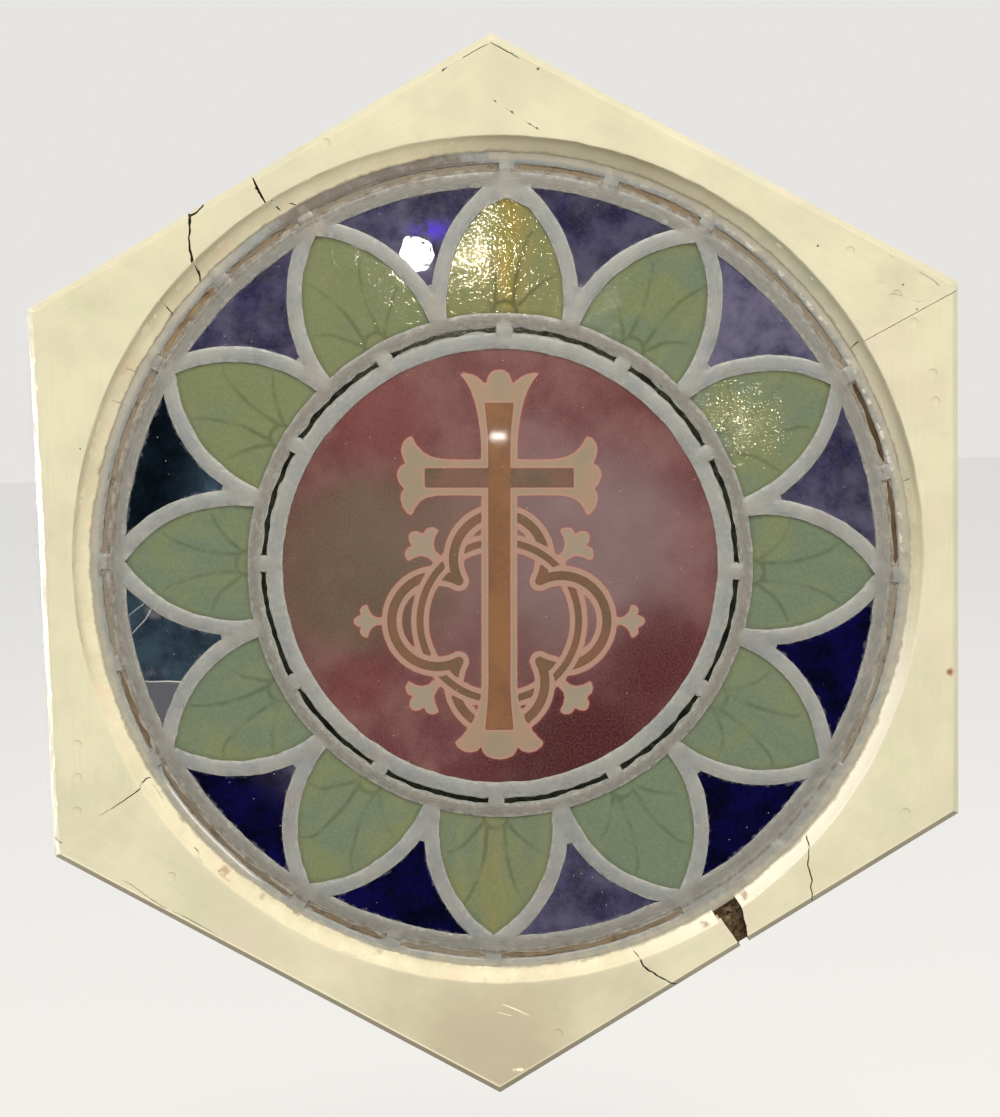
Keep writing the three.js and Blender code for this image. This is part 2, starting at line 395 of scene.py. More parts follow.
SIGHT_RADIUS = 297.0
BOARD_JOINTS = [0.8, 60.4, 119.6, 180.3, 240.2, 299.5]
JOINT_WIDTH, JOINT_DEPTH = 0.7, 0.9


def beyond_sight(flat):
    return (radius_of(flat) > SIGHT_RADIUS) & (edge_distance(flat) > 0)


backing_low, backing_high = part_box("backing_ring")
joint_lines = []
for joint in BOARD_JOINTS:
    across = polar(1.0, joint + 90)
    for shift in (-JOINT_WIDTH / 2, 0, JOINT_WIDTH / 2):
        joint_lines.append(steps(polar(SIGHT_RADIUS - 2, joint) + across * shift,
                                 polar(395, joint) + across * shift, 6))
gap_angles, gap_radii = np.meshgrid(np.linspace(144.6, 151.2, 40), np.linspace(299, 386, 80))
bared = polar(gap_radii.ravel(), gap_angles.ravel())
bared = bared[edge_distance(bared) > 2.5]
backing_plan, backing_faces, backing_rim = lay_out(
    [ring_line(SIGHT_RADIUS), ring_line(SIGHT_RADIUS + 1.2), along_path(hexagon(), 5),
     along_path(hexagon(1.5), 5)]
    + joint_lines, 5.0, beyond_sight, seed=11, dense=[bared])


def joint_depth(flat):
    """How deep the glue lines between the boards have opened."""
    depth = np.zeros(len(flat))
    for joint in BOARD_JOINTS:
        axis = polar(1.0, joint)
        off = abs(flat @ np.array([axis[1], -axis[0]]))
        on = (flat @ axis) > 0
        depth = np.maximum(depth, np.where(on, np.clip(1 - off / (JOINT_WIDTH / 2), 0, 1), 0))
    return depth * JOINT_DEPTH


def eased_edge(flat, size):
    """The rounding of a plate's two edges, as a depth below its face."""
    bore = np.clip(1 - (radius_of(flat) - SIGHT_RADIUS) / size, 0, 1)
    outer = np.clip(1 - edge_distance(flat) / size, 0, 1)
    return size * 0.6 * np.maximum(bore, outer) ** 2


def debris(flat):
    """Where a piece of facing is lost, splinters and crumbs of putty stand on the bare wood."""
    angle = angle_of(flat)
    on = np.clip(np.minimum(angle - 145.2, 150.6 - angle) / 0.6, 0, 1)
    on = on * np.clip((radius_of(flat) - 300) / 3, 0, 1)
    along = flat @ polar(1.0, 58.0)
    out = flat @ polar(1.0, 148.0)
    splinter = 0.5 + 0.5 * waves(np.stack([along * 0.35, out * 1.6], -1), 3.2, 14)
    crumb = np.clip(waves(flat, 5.5, 15) - 0.1, 0, 1) * np.clip((326 - out) / 10, 0, 1)
    return on * (0.9 * splinter + 2.0 * crumb)


unevenness = 0.12 + 0.12 * waves(backing_plan, 55, 12)
standing = debris(backing_plan)
back_level = backing_high.y - MM * (eased_edge(backing_plan, 1.5) + joint_depth(backing_plan)
                                    + np.clip(unevenness, 0, 1))
front_level = backing_low.y + MM * (eased_edge(backing_plan, 1.2) * 0.3 - 0.03 - standing)
points, faces = two_faced(backing_plan, backing_faces, backing_rim, front_level, back_level)

backing_finish, tree, shader, where = new_finish("aged_backing_timber")
board = mark_of(tree, "board", vector=True)
streaks = effect(grain, Board=board, Stretch=16.0, Scale=420.0)
dirt = effect(grime, Where=where, Patch=9.0, Cover=0.5, Edge=0.22)
wood = coats(
    lay_over(streaks["Streak"], (96, 72, 48), (150, 120, 84)),
    (streaks["Figure"], (104, 74, 46), 0.55),
    (dirt["Mask"], (60, 46, 34), 0.6))
side_on = maths("LESS_THAN", maths("ABSOLUTE", face_normal(tree)["Y"]), 0.6)
outward = maths("GREATER_THAN", mark_of(tree, "outer_edge"), 0.5)
painted = times(side_on, outward)
painted = times(painted, ramp(mottle(where, 22, 6.0, 0.66), 0.34, 0.37))
coat = coats(
    lay_over(mottle(where, 60, 4.0), (206, 198, 166), (184, 174, 142)),
    (dirt["Mask"], (120, 104, 78), 0.35))
bare = ramp(plus(mark_of(tree, "bare"), sway(mottle(where, 4, 4.0, 0.7), 0.9)), 0.3, 0.7)
torn = lay_over(ramp(mottle(where, 2.6, 5.0, 0.75), 0.38, 0.6), (50, 35, 21), (116, 92, 64))
colour = coats(
    lay_over(painted, wood, coat),
    (mark_of(tree, "joint"), (34, 26, 20), 0.85),
    (dirt["Speckle"], (70, 54, 40), 0.25),
    (mark_of(tree, "lost"), lay_over(bare, torn, (122, 106, 84))))
relief = plus(times(streaks["Streak"], 0.7), times(painted, 0.35))
feed(shader, colour, ramp(painted, 0.0, 1.0, 0.86, 0.55), relief, depth=0.35)

joint_mark = np.clip(joint_depth(backing_plan) / JOINT_DEPTH, 0, 1)
marks = {"board": np.concatenate([board_marks(backing_plan, level, BOARD_JOINTS, 13)
                                  for level in (front_level, back_level)]),
         "joint": np.concatenate([joint_mark * 0, joint_mark]),
         "lost": on_front(standing > 0),
         "bare": on_front(np.clip(standing * 0.55, 0, 1)),
         "outer_edge": np.tile(edge_distance(backing_plan) < 12, 2)}
backing = make_piece("backing", points, faces, backing_finish, marks)
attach(backing, "root")
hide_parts("backing_ring")

# ==== The facings ===============================
# Four quarter pieces of painted softwood planted on the backing, with a round opening and a planed
# chamfer outside. The wood has split and shrunk: joints and splits have opened through the paint.

REBATE_RADIUS = 310.0
CHAMFER = 5.0
facing_low, facing_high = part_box("facing_top")
# Where each piece starts and ends, as angles at radii of 310 and 340, and how ragged the cut is.
FACINGS = {
    "facing_top": ((328.9, 329.4), (59.4, 59.7)),
    "facing_right": ((59.45, 59.75), (146.1, 148.25)),
    "facing_bottom": ((149.3, 149.05), (239.25, 238.95)),
    "facing_left": ((239.25, 238.95), (328.8, 329.3)),
}
CLOSED_JOINTS = [("facing_bottom", 1), ("facing_left", 0)]  # filled and painted over
# The opening's arris is eased by hand, more on the left than on the right: angle and radius.
ARRIS = [(0, 313.6), (20, 313.2), (45, 313.0), (75, 312.4), (95, 311.3), (130, 311.1), (160, 311.4),
         (200, 311.5), (215, 312.2), (232, 313.5), (255, 313.6), (272, 314.6), (290, 315.2), (305, 315.8),
         (320, 315.2), (335, 314.6), (350, 314.0), (360, 313.6)]
COVE_FOOT, COVE_DEPTH = 302.2, 7.8
# Along some cuts the paint and wood have broken back: distance up the cut, and how far back.
BROKEN_BACK = {
    ("facing_left", 1): [(-6, 0.0), (4, 0.1), (13, 1.3), (17, 1.7), (21, 0.9), (30, 0.3), (60, 0.0)],
    ("facing_right", 1): [(-6, 0.4), (1, 0.0), (6, 1.3), (9, 0.4), (15, 1.1), (22, 0.5), (60, 0.6)],
    ("facing_bottom", 0): [(-6, 0.9), (0, 0.2), (8, 0.4), (16, 0.1), (22, 0.4), (60, 0.1)],
}
# Splits and paint cracks: their line, width and depth in millimetres, and whether they come and go.
SPLITS = [
    ([(-219.5, 273), (-218.3, 266), (-218.1, 255.7), (-219.0, 246), (-218.8, 237.8), (-216.4, 224.8),
      (-212.5, 213.9)], [3.0, 2.6, 1.5, 0.9, 1.5, 1.9, 1.2], 9.0, 0.0),
    ([(-218.2, 262), (-213.5, 265.0), (-209.4, 268.4), (-207.4, 274)], [2.0, 1.5, 1.0, 2.2], 4.0, 0.0),
    ([(222.0, -207), (224.3, -217.8), (223.5, -228.4), (226.3, -239.1), (225.2, -243), (226.4, -252),
      (228.0, -259)],
     [0.4, 0.6, 0.75, 0.8, 0.65, 0.6, 0.5], 3.0, 0.0),
    ([(96.2, -291), (99.0, -301.2), (102.6, -304.3), (113.0, -310.7), (120.4, -315.5), (124.9, -317.2)],
     [0.7, 1.0, 1.1, 0.9, 0.8, 0.5], 5.0, 0.0),
    ([(127.5, -318.2), (130.6, -320.5)], [2.4, 3.4], 2.5, 0.0),
    ([(-31.5, 361.4), (-24, 365.2), (-10.3, 373.1), (1.2, 378.4)], [1.1, 0.5, 0.6, 0.5], 0.7, 0.45),
    ([(2.9, 379.8), (10.0, 375.8), (18.4, 371.0), (24.0, 367.4)], [0.4, 0.8, 0.8, 0.3], 0.8, 0.15),
    ([(288.2, 221.3), (294.0, 217.4), (306.3, 210.4), (321.4, 201.0), (327.0, 194.6)],
     [0.4, 0.5, 0.45, 0.6, 1.5], 0.35, 0.66),
    ([(277.5, 202.2), (287.6, 200.7), (297.7, 196.9)], [0.3, 0.5, 0.3], 0.15, 0.6),
    ([(286.2, 191.7), (292.6, 192.6), (299.1, 190.2)], [0.4, 0.7, 0.4], 0.2, 0.5),
    ([(303.5, 188.3), (309.0, 186.4), (315.0, 187.2)], [0.3, 0.5, 0.5], 0.15, 0.5),
    ([(-294.0, -222.7), (-281.4, -229.2), (-268, -240), (-256.4, -248.1), (-248, -251.6), (-239.6, -256.5),
      (-224.5, -265.6), (-211.1, -274.7)], [0.3, 0.6, 0.5, 0.8, 0.4, 0.7, 0.5, 0.2], 0.5, 0.2),
    ([(4.6, 338.8), (18.1, 329.2), (30.1, 321.1), (41, 313)], [0.2, 0.5, 0.6, 0.2], 0.4, 0.6),
    ([(150.8, 323.8), (176, 310.4), (203, 295.2), (241, 273.4)], [0.3, 0.6, 0.5, 0.3], 0.5, 0.62),
    ([(-339.0, -192.6), (-330.8, -196.4)], [0.9, 0.5], 1.0, 0.0),
    ([(-266.3, -151.6), (-270.4, -152.4), (-270.9, -155.8), (-276.5, -160.4), (-289, -168.4),
      (-303, -176.6)], [0.5, 0.8, 0.75, 0.65, 0.5, 0.2], 1.6, 0.0),
]
# Scratches through to an older, paler coat.
SCRATCHES = [([(-7.4, -327.4), (2.3, -331.5), (13.4, -337.2)], [0.3, 0.9, 0.3], 0.12, 0.0),
             ([(-11.3, -333.5), (-0.1, -336.8)], [0.3, 0.5], 0.1, 0.0),
             ([(1.8, -378.0), (7.6, -378.6)], [2.6, 2.2], 0.3, 0.0)]
# Nail heads sunk and stopped with filler, and pin holes and knocks: x, z, radius, depth.
STOPPED_NAILS = [(259.9, 224.0), (293.7, 191.7), (305.6, 171.4), (319.0, 134.0), (320.8, 113.6),
                 (-317.1, -122.8), (-318.2, -147.5), (-319.4, -173.1), (-251.5, -224.0),
                 (-118.2, 311.4), (34.0, -351.4), (296.5, -190.3)]
# Where the paint is drawn darker and yellower: x, z, reach and how much.
DARKENED_AREAS = [(-5, -368, 75, 1.0), (-75, -338, 70, 0.45), (60, -338, 55, 0.5), (290, 182, 55, 0.3)]
PIN_HOLES = [(36.9, 359.9, 1.1), (236.8, 228.5, 0.9), (-31.5, 361.0, 0.8), (5.3, 338.1, 0.6),
             (17.4, 329.9, 0.8), (30.1, 321.1, 0.5), (35.1, 318.1, 0.6), (-295.0, -76.2, 0.7),
             (298.4, 199.0, 0.8), (308.2, 181.0, 0.6), (-305.0, 96.0, 0.6)]
RUSTED_PIN = (330.3, -85.5, 2.6)


def inside_line(flat, line):
    """Whether each point lies inside a closed line."""
    x, z = flat[:, 0], flat[:, 1]
    crossings = np.zeros(len(flat), int)
    for (ax, az), (bx, bz) in zip(line[:-1], line[1:]):
        if az == bz:
            continue
        spans = (az > z) != (bz > z)
        crossings += spans & (x < ax + (z - az) * (bx - ax) / (bz - az))
    return crossings % 2 == 1


def from_line(flat, line, values=None):
    """Distance of each point from a line, and the value carried by the nearest place on it."""
    best = np.full(len(flat), 1e9)
    carried = np.zeros(len(flat))
    values = np.zeros(len(line)) if values is None else np.asarray(values, float)
    for i in range(len(line) - 1):
        run = line[i + 1] - line[i]
        share = np.clip((flat - line[i]) @ run / max(run @ run, 1e-12), 0, 1)
        off = flat - line[i] - share[:, None] * run
        away = np.hypot(off[:, 0], off[:, 1])
        nearer = away < best
        best = np.where(nearer, away, best)
        carried = np.where(nearer, values[i] + (values[i + 1] - values[i]) * share, carried)
    return best, carried


def from_table(at, table, column=1):
    """A value read between the rows of a table, whose first column is the place."""
    return np.interp(at, [row[0] for row in table], [row[column] for row in table])


def cut_edge(name, end):
    """The line of a piece's cut from inside the opening to beyond the frame's edge, as sawn, with
    splinters broken back from it."""
    at_opening, at_edge = FACINGS[name][end]
    inner, outer = polar(REBATE_RADIUS, at_opening), polar(340.0, at_edge)
    run = (outer - inner) / np.linalg.norm(outer - inner)
    into_piece = np.array([run[1], -run[0]]) * (1 if end == 0 else -1)
    reach = np.arange(-8.0, 92.0, 1.6)
    broken = BROKEN_BACK.get((name, end), [(0, 0.0), (60, 0.0)])
    back = from_table(reach, broken)
    draw = np.random.default_rng(100 + 10 * list(FACINGS).index(name) + end)
    if (name, end) not in CLOSED_JOINTS:
        back = back * draw.uniform(0.55, 1.25, len(reach)) + draw.uniform(0, 0.12, len(reach))
    return inner + reach[:, None] * run + back[:, None] * into_piece


def edge_radius(angle):
    """The frame's radius at an angle."""
    toward = np.cos(np.radians(angle[:, None] - np.array([a for a, _ in SIDES])))
    return np.where(toward > 0.05, side_distances / np.maximum(toward, 0.05), 1e9).min(1)


corner_angles = angle_of(hexagon()[:-1])


def facing_outline(name):
    start, end = cut_edge(name, 0), cut_edge(name, 1)
    start = start[radius_of(start) > REBATE_RADIUS]
    end = end[radius_of(end) > REBATE_RADIUS]
    start, end = start[edge_distance(start) > 0.3], end[edge_distance(end) > 0.3]
    first = angle_of(start[:1])[0]
    span = (angle_of(end[:1])[0] - first) % 360
    bore = ring_line(REBATE_RADIUS, 2.5, first, first + span)
    out_first = angle_of(start[-1:])[0]
    out_span = (angle_of(end[-1:])[0] - out_first) % 360
    corners = [c for c in (corner_angles - out_first) % 360 if 0.2 < c < out_span - 0.2]
    turn = np.sort(np.concatenate([np.linspace(0, out_span, int(out_span * 2.4)), corners]))
    outer = polar(edge_radius(out_first + turn), out_first + turn)
    loop = np.concatenate([bore, end, outer[::-1], start[::-1]])
    keep = np.linalg.norm(np.diff(loop, axis=0, append=loop[:1]), axis=1) > 0.05
    loop = loop[keep]
    return np.concatenate([loop, loop[:1]])


def split_course(corners, widths, depth, gaps, seed):
    """A split's wandering line, with its width at each place; gaps is how much of it has closed up."""
    corners = np.array(corners, float)
    line = along_path(corners, 1.3)
    at = np.concatenate([[0], np.cumsum(np.linalg.norm(np.diff(line, axis=0), axis=1))])
    stops = np.concatenate([[0], np.cumsum(np.linalg.norm(np.diff(corners, axis=0), axis=1))])
    width = np.interp(at, stops, widths) * (1 + 0.22 * waves(line, 5, seed + 3))
    if gaps:
        width *= np.clip((waves(line, 18, seed + 7) - gaps * 2 + 1.3) * 2.5, 0.12, 1)
    width *= np.clip(np.minimum(at + 0.3, at[-1] - at + 0.3) / 1.5, 0.1, 1)
    run = np.gradient(line, axis=0)
    across = np.stack([-run[:, 1], run[:, 0]], -1) / np.linalg.norm(run, axis=1)[:, None]
    line = line + across * (0.4 * waves(line, 6.5, seed) * min(1.0, depth / 3 + 0.3))[:, None]
    return line, np.maximum(width, 0.06), across


LIP = 0.22  # how far the paint has broken back beyond a split's edge


def split_lines(course):
    """Lines for the mesh to follow: a split's middle, its two lips, and just beyond them."""
    line, width, across = course
    offsets = [-width / 2 - LIP, -width / 2, width * 0, width / 2, width / 2 + LIP]
    return [line + across * off[:, None] for off in offsets]


def open_splits(flat, made, depths):
    """How deep the splits are at each point, and how dark."""
    depth, dark = np.zeros(len(flat)), np.zeros(len(flat))
    for (line, width, _), deep in zip(made, depths):
        near = abs(flat - line.mean(0)).max(1) < np.ptp(line, axis=0).max() / 2 + 6
        away, here = from_line(flat[near], line, width)
        depth[near] += deep * np.clip(2 - away / (here / 4 + 1e-6), 0, 1) * np.clip(here / 0.7, 0.15, 1)
        shown = np.clip((here / 2 + LIP - away) / LIP, 0, 1) * np.clip(here / 0.5, 0.2, 1)
        dark[near] = np.maximum(dark[near], shown * min(1.0, 0.32 + deep / 3))
    return depth, dark


courses = [split_course(*split, seed=200 + i) for i, split in enumerate(SPLITS)]
split_depths = [split[2] for split in SPLITS]
scratched = [split_course(*scratch, seed=260 + i) for i, scratch in enumerate(SCRATCHES)]


def arris_radius(flat):
    return from_table(angle_of(flat), ARRIS) + 0.25 * waves(flat, 26, 24)


def cove_depth(flat):
    """The hollow between the face and the lead: steep below the arris, flatter at its foot."""
    top = arris_radius(flat)
    share = np.clip((top - radius_of(flat)) / (top - COVE_FOOT), 0, 1)
    return COVE_DEPTH * (1 - (1 - share) ** 1.9)


def planed_swell(flat):
    """How uneven hand planing has left the painted face."""
    return 0.16 + 0.13 * waves(flat, 80, 21) + 0.035 * waves(flat, 16, 22)


def facing_depth(flat):
    """How far the painted face lies below the frame's front, and how dark its cracks and holes and the
    painted shadows round its stopped nails are there.
    """
    edge = edge_distance(flat)
    ease = np.clip((CHAMFER + 0.6 - edge) / 1.2, 0, 1)
    depth = np.where(edge > CHAMFER - 0.6, 0.6 * ease ** 2, CHAMFER - edge)
    past = radius_of(flat) - arris_radius(flat)
    depth += 0.35 * np.clip(1 - past / 1.8, 0, 1) ** 2 + np.where(past < 0, cove_depth(flat), 0)
    depth += planed_swell(flat)
    split, dark = open_splits(flat, courses, split_depths)
    depth += split
    for x, z in STOPPED_NAILS:
        away = radius_of(flat - (x, z))
        depth += 0.22 * np.exp(-(away / 3.1) ** 4) - 0.1 * np.exp(-((away - 3.9) / 0.9) ** 2)
        # Painted shadow: a dark ring round each stopped nail, strongest on its upper right side.
        nail_shadow_side = np.clip((flat[:, 0] - x + 1.6 * (flat[:, 1] - z)) / 5, 0, 1)
        dark = np.maximum(dark, (0.16 + 0.26 * nail_shadow_side) * np.exp(-((away - 3.4) / 0.6) ** 2))
    for x, z, radius in PIN_HOLES:
        away = radius_of(flat - (x, z))
        hole = np.clip(1.25 - away / radius, 0, 1)
        depth += 1.1 * hole
        dark = np.maximum(dark, hole)
    return np.maximum(depth, 0.02), dark


# The paint: several coats of oil paint gone cream, thin on the arrises, with brush marks along each
# board, faint green and pink stains, and dirt in every crack. Light and shade are painted on it too:
# the chamfers are drawn darker where they face down and lighter on the left, a painted highlight
# runs along the arris of the two lower sides, and each stopped nail has a painted shadow.
paint_finish, tree, shader, where = new_finish("cream_oil_paint")
board = mark_of(tree, "board", vector=True)
cloud = mottle(where, 75, 4.0, 0.6)
green = mottle(shifted(where, 3.1, 1.7), 48, 3.0)
pink = mottle(shifted(where, 7.7, 5.2), 60, 3.0)
darkened = plus(mark_of(tree, "darkened"), sway(cloud, 0.9))
brush = effect(grain, Board=board, Stretch=22.0, Scale=520.0)
dirt = effect(grime, Where=where, Patch=26.0, Cover=0.4, Edge=0.2)
wear = effect(edge_wear, Where=where, Reach=0.045, Break=190.0)
normal = face_normal(tree)
on_side = ramp(normal["Y"], -0.5, -0.2)
from_edge = mark_of(tree, "from_edge")
chamfered = times(ramp(from_edge, 5.2, 4.4), ramp(brush["Streak"], 0.2, 0.6, 1.0, 0.7))
lit_arris = times(ramp(from_edge, 6.6, 5.9), ramp(from_edge, 4.6, 5.3))
crack = mark_of(tree, "crack")
raw_wood = lay_over(brush["Streak"], (52, 38, 26), (120, 90, 58))
cut_wood = ramp(mark_of(tree, "cut_edge"), 0.4, 0.6)
paint = coats(
    lay_over(ramp(cloud, 0.35, 0.65), (217, 212, 183), (205, 201, 173)),
    (ramp(green, 0.52, 0.72, 0.0, 0.5), (199, 202, 168)),
    (ramp(pink, 0.55, 0.75, 0.0, 0.55), (215, 202, 182)),
    (ramp(darkened, 0.05, 0.95), (184, 174, 149)),
    (ramp(brush["Streak"], 0.35, 0.75, 0.0, 0.16), (182, 177, 148)),
    (dirt["Mask"], (160, 152, 123), 0.22),
    (times(dirt["Speckle"], dirt["Mask"]), (140, 126, 98), 0.22),
    (wear["Worn"], (232, 224, 200), 0.12),
    (wear["Hollow"], (120, 106, 80), 0.5),
    (on_side, (196, 186, 154), 0.45),
    # Painted shade: the chamfers are drawn darker where they face down.
    (times(chamfered, ramp(normal["Z"], -0.2, -0.5)), (138, 131, 114)),
    # Painted highlight: the left chamfer is drawn lighter.
    (times(chamfered, mark_of(tree, "painted_light_left_chamfer")), (242, 238, 220)),
    # Painted highlight: a pale line along the arris of the two lower sides.
    (times(lit_arris, mark_of(tree, "painted_light_low_arris")), (240, 233, 204)),
    (mark_of(tree, "scratch"), (244, 238, 206)),
    (mark_of(tree, "rust"), (150, 98, 46)),
    (times(cut_wood, on_side), raw_wood),
    # The crack mark also carries the painted shadow round each stopped nail.
    (ramp(crack, 0.0, 1.0, 0.0, 0.92), (64, 50, 32)))
relief = plus(times(brush["Streak"], 0.4), times(mottle(where, 3.5, 2.0), 0.6))
sheen = ramp(cloud, 0.3, 0.7, 0.42, 0.58)
feed(shader, paint, sheen, relief, depth=0.16, strength=0.8)

chamfer_lines = [along_path(hexagon(inset), 3.0)
                 for inset in (CHAMFER - 0.6, CHAMFER, CHAMFER + 0.6, CHAMFER + 1.8)]
crack_lines = [line for course in courses + scratched for line in split_lines(course)]
knocks = []
for x, z in STOPPED_NAILS:
    for radius in (0.9, 1.9, 2.8, 3.5, 4.2, 5.2):
        knocks.append(np.array([x, z]) + ring_line(radius, 1.1)[:-1])
for x, z, radius in PIN_HOLES + [RUSTED_PIN]:
    for share in (0.0, 0.5, 1.0, 1.3):
        knocks.append(np.array([x, z]) + polar(radius * share, np.linspace(0, 315, 8 if share else 1)))

turn = np.linspace(0, 360, 900)
arris = arris_radius(polar(312.0, turn))
arris_lines = [polar(arris + shift, turn) for shift in (-1.0, 0.0, 0.9, 1.8)]

for name in FACINGS:
    outline = facing_outline(name)

    def on_facing(flat):
        return inside_line(flat, outline)

    near_lines = [line for line in crack_lines if on_facing(line).any()]
    bands = []
    for line in chamfer_lines + arris_lines:
        kept = inside_line(line, outline)
        starts = np.flatnonzero(np.diff(np.concatenate([[0], kept.astype(int), [0]])))
        bands += [line[a:b] for a, b in zip(starts[::2], starts[1::2]) if b - a > 2]
    spots = [spot[on_facing(spot)] for spot in knocks]
    plan, plan_faces, plan_rim = lay_out([outline] + bands + near_lines, 4.0, on_facing, 31,
                                         dense=[s for s in spots if len(s)])
    depth, dark = facing_depth(plan)
    front = facing_low.y + depth * MM
    back = np.full(len(plan), facing_high.y)
    points, faces = two_faced(plan, plan_faces, plan_rim, front, back)
    darkened = np.max([much * np.exp(-(radius_of(plan - (x, z)) / reach) ** 2)
                   for x, z, reach, much in DARKENED_AREAS], 0)
    scratch = open_splits(plan, scratched, [3.0] * len(scratched))[1]
    from_pin = radius_of(plan - RUSTED_PIN[:2]) / RUSTED_PIN[2]
    side = (side_distances - plan @ side_normals.T).argmin(1)
    cuts = np.minimum(from_line(plan, cut_edge(name, 0))[0], from_line(plan, cut_edge(name, 1))[0])
    marks = {"board": np.concatenate([board_marks(plan, level, BOARD_JOINTS, 33)
                                      for level in (front, back)]),
             "crack": on_front(dark), "darkened": np.tile(darkened, 2),
             "scratch": np.tile(scratch, 2), "rust": np.tile(np.clip(1.6 - from_pin * 1.2, 0, 1), 2),
             "from_edge": np.tile(edge_distance(plan), 2),
             # Where light is painted on the left chamfer and along the lower arrises.
             "painted_light_left_chamfer": np.tile(side == 4, 2),
             "painted_light_low_arris": np.tile((side == 3) * 0.8 + (side == 2) * 0.4, 2),
             "cut_edge": np.tile(cuts < 0.3, 2)}
    facing = make_piece(name + "_painted", points, faces, paint_finish, marks)
    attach(facing, "root")
    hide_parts(name)

# ==== The roundel ===============================
# One disc of flashed ruby glass. Its ornament was etched through the flash, stained amber and
# outlined, then fired: a cross with leaf ends, and a knot of strapwork round its foot.

glass_front, glass_back = rose_low.y, rose_high.y
BITE = 3.0  # how far glass goes into the lead
ROSE_TURN = 2.5  # how far the rose stands turned clockwise
STEP = 30.0  # a twelfth of a turn
SKIN = 0.0002  # how far a pane's faces lie inside its plain solid, in metres


def slab(grid, front, back):
    """A closed solid from a grid of flat points, rows by columns, with relief on both faces."""
    rows, columns = grid.shape[:2]
    flat = grid.reshape(-1, 2)
    count = len(flat)
    ids = np.arange(count).reshape(rows, columns)
    a, b, c, d = ids[:-1, :-1], ids[:-1, 1:], ids[1:, 1:], ids[1:, :-1]
    quads = np.stack([a, b, c, d], -1).reshape(-1, 4)
    corner = flat[quads[len(quads) // 2]]
    twist = np.cross(corner[1] - corner[0], corner[2] - corner[0])
    if twist < 0:
        quads = quads[:, ::-1]
    rim = np.concatenate([ids[0, :], ids[1:, -1], ids[-1, -2::-1], ids[-2:0:-1, 0]])
    if twist < 0:
        rim = rim[::-1]
    walls = [(int(j), int(i), int(i) + count, int(j) + count) for i, j in zip(rim, np.roll(rim, -1))]
    points = np.concatenate([in_place(flat, front), in_place(flat, back)])
    faces = quads.tolist() + (quads[:, ::-1] + count).tolist() + walls
    return points, faces


def sheet_wobble(flat, seed, long_swell=0.16, short_swell=0.03):
    """Hand-made glass is never flat: long swells and short ones, in metres, kept inside the lead."""
    return (long_swell * waves(flat, 95, seed) + short_swell * waves(flat, 17, seed + 1)) * MM


def make_pane(name, grid, finish, seed, marks=None, wobble=None):
    flat = grid.reshape(-1, 2)
    swell = sheet_wobble(flat, seed) if wobble is None else wobble
    points, faces = slab(grid, glass_front + SKIN + swell, glass_back - SKIN + swell * 0.5)
    both = {mark: np.concatenate([v, v]) for mark, v in (marks or {}).items()}
    pane = make_piece(name + "_glass", points, faces, finish, both)
    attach(pane, "root")
    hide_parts(name)


def disc_grid(count, radius):
    """A square grid eased into a disc, with its finest squares in the middle."""
    a, b = np.meshgrid(np.linspace(-1, 1, count + 1), np.linspace(-1, 1, count + 1))
    wide = abs(a) > abs(b)
    with np.errstate(divide="ignore", invalid="ignore"):
        turn = np.where(wide, np.pi / 4 * np.nan_to_num(b / a),
                        np.pi / 2 - np.pi / 4 * np.nan_to_num(a / b))
    reach = np.where(wide, a, b)
    reach = reach * (0.8 + 0.2 * reach ** 2) * radius
    return np.stack([reach * np.cos(turn), reach * np.sin(turn)], -1)


def signed(flat, outline):
    """Distance from a closed outline, negative inside it."""
    away, _ = from_line(flat, outline)
    return np.where(inside_line(flat, outline), -away, away)


def both_sides(half):
    """A closed outline from its right half, which runs from the axis round to the axis again."""
    half = np.array(half, float)
    left = (half * (-1, 1))[::-1]
    return np.concatenate([half, left[1:]])


# Half of the cross from the top of its head round to the bottom of its foot, about its own axis.
CROSS = [(0, 142.2), (3.6, 141.6), (6.7, 139.6), (8.6, 136.4), (9.3, 133.4), (9.9, 131.8), (12.2, 133.6),
         (15.5, 136.4), (20, 138.7), (25.5, 139.9), (30.3, 139.7), (26.3, 135.8), (23.2, 131.2),
         (20.6, 125.8), (18.2, 119), (16.4, 111.7), (14.9, 103), (13.9, 95.3), (13.4, 86), (13.3, 76.2),
         (30, 76.0), (42, 76.5), (50, 78.2), (56.5, 81.8), (61.3, 87.3), (64.6, 93.3), (68.6, 91.9),
         (71.8, 87.7), (72.7, 82.4), (71.2, 77.0), (69.1, 73.4), (72.8, 71.5), (75.3, 67.6), (75.5, 63.0),
         (73.6, 58.0), (70.1, 54.6), (72.6, 51.3), (73.1, 46.3), (71.3, 40.7), (68.2, 36.3), (65.0, 34.4),
         (62.2, 40.4), (58.5, 45.2), (53.5, 48.0), (46, 49.4), (30, 49.6), (13.3, 49.3), (13.3, -30),
         (13.3, -95), (14, -101), (15.8, -108.5), (19, -117), (23.5, -124.5), (29, -131.2), (33.2, -134.8),
         (31.5, -138.7), (27, -141.7), (21.8, -143), (17, -141.7), (13.6, -138.4), (12.6, -142.2),
         (9.6, -145.6), (5, -147.4), (0, -148)]
CROSS_STAFF = [(0, 117.6), (10.7, 117.6), (9.2, 104), (8.1, 92), (8.0, 0), (8.0, -92), (8.8, -108),
               (10.4, -125.5), (0, -125.5)]
CROSS_BAR = [(0, 69.6), (55.0, 69.6), (55.0, 55.4), (0, 55.4)]
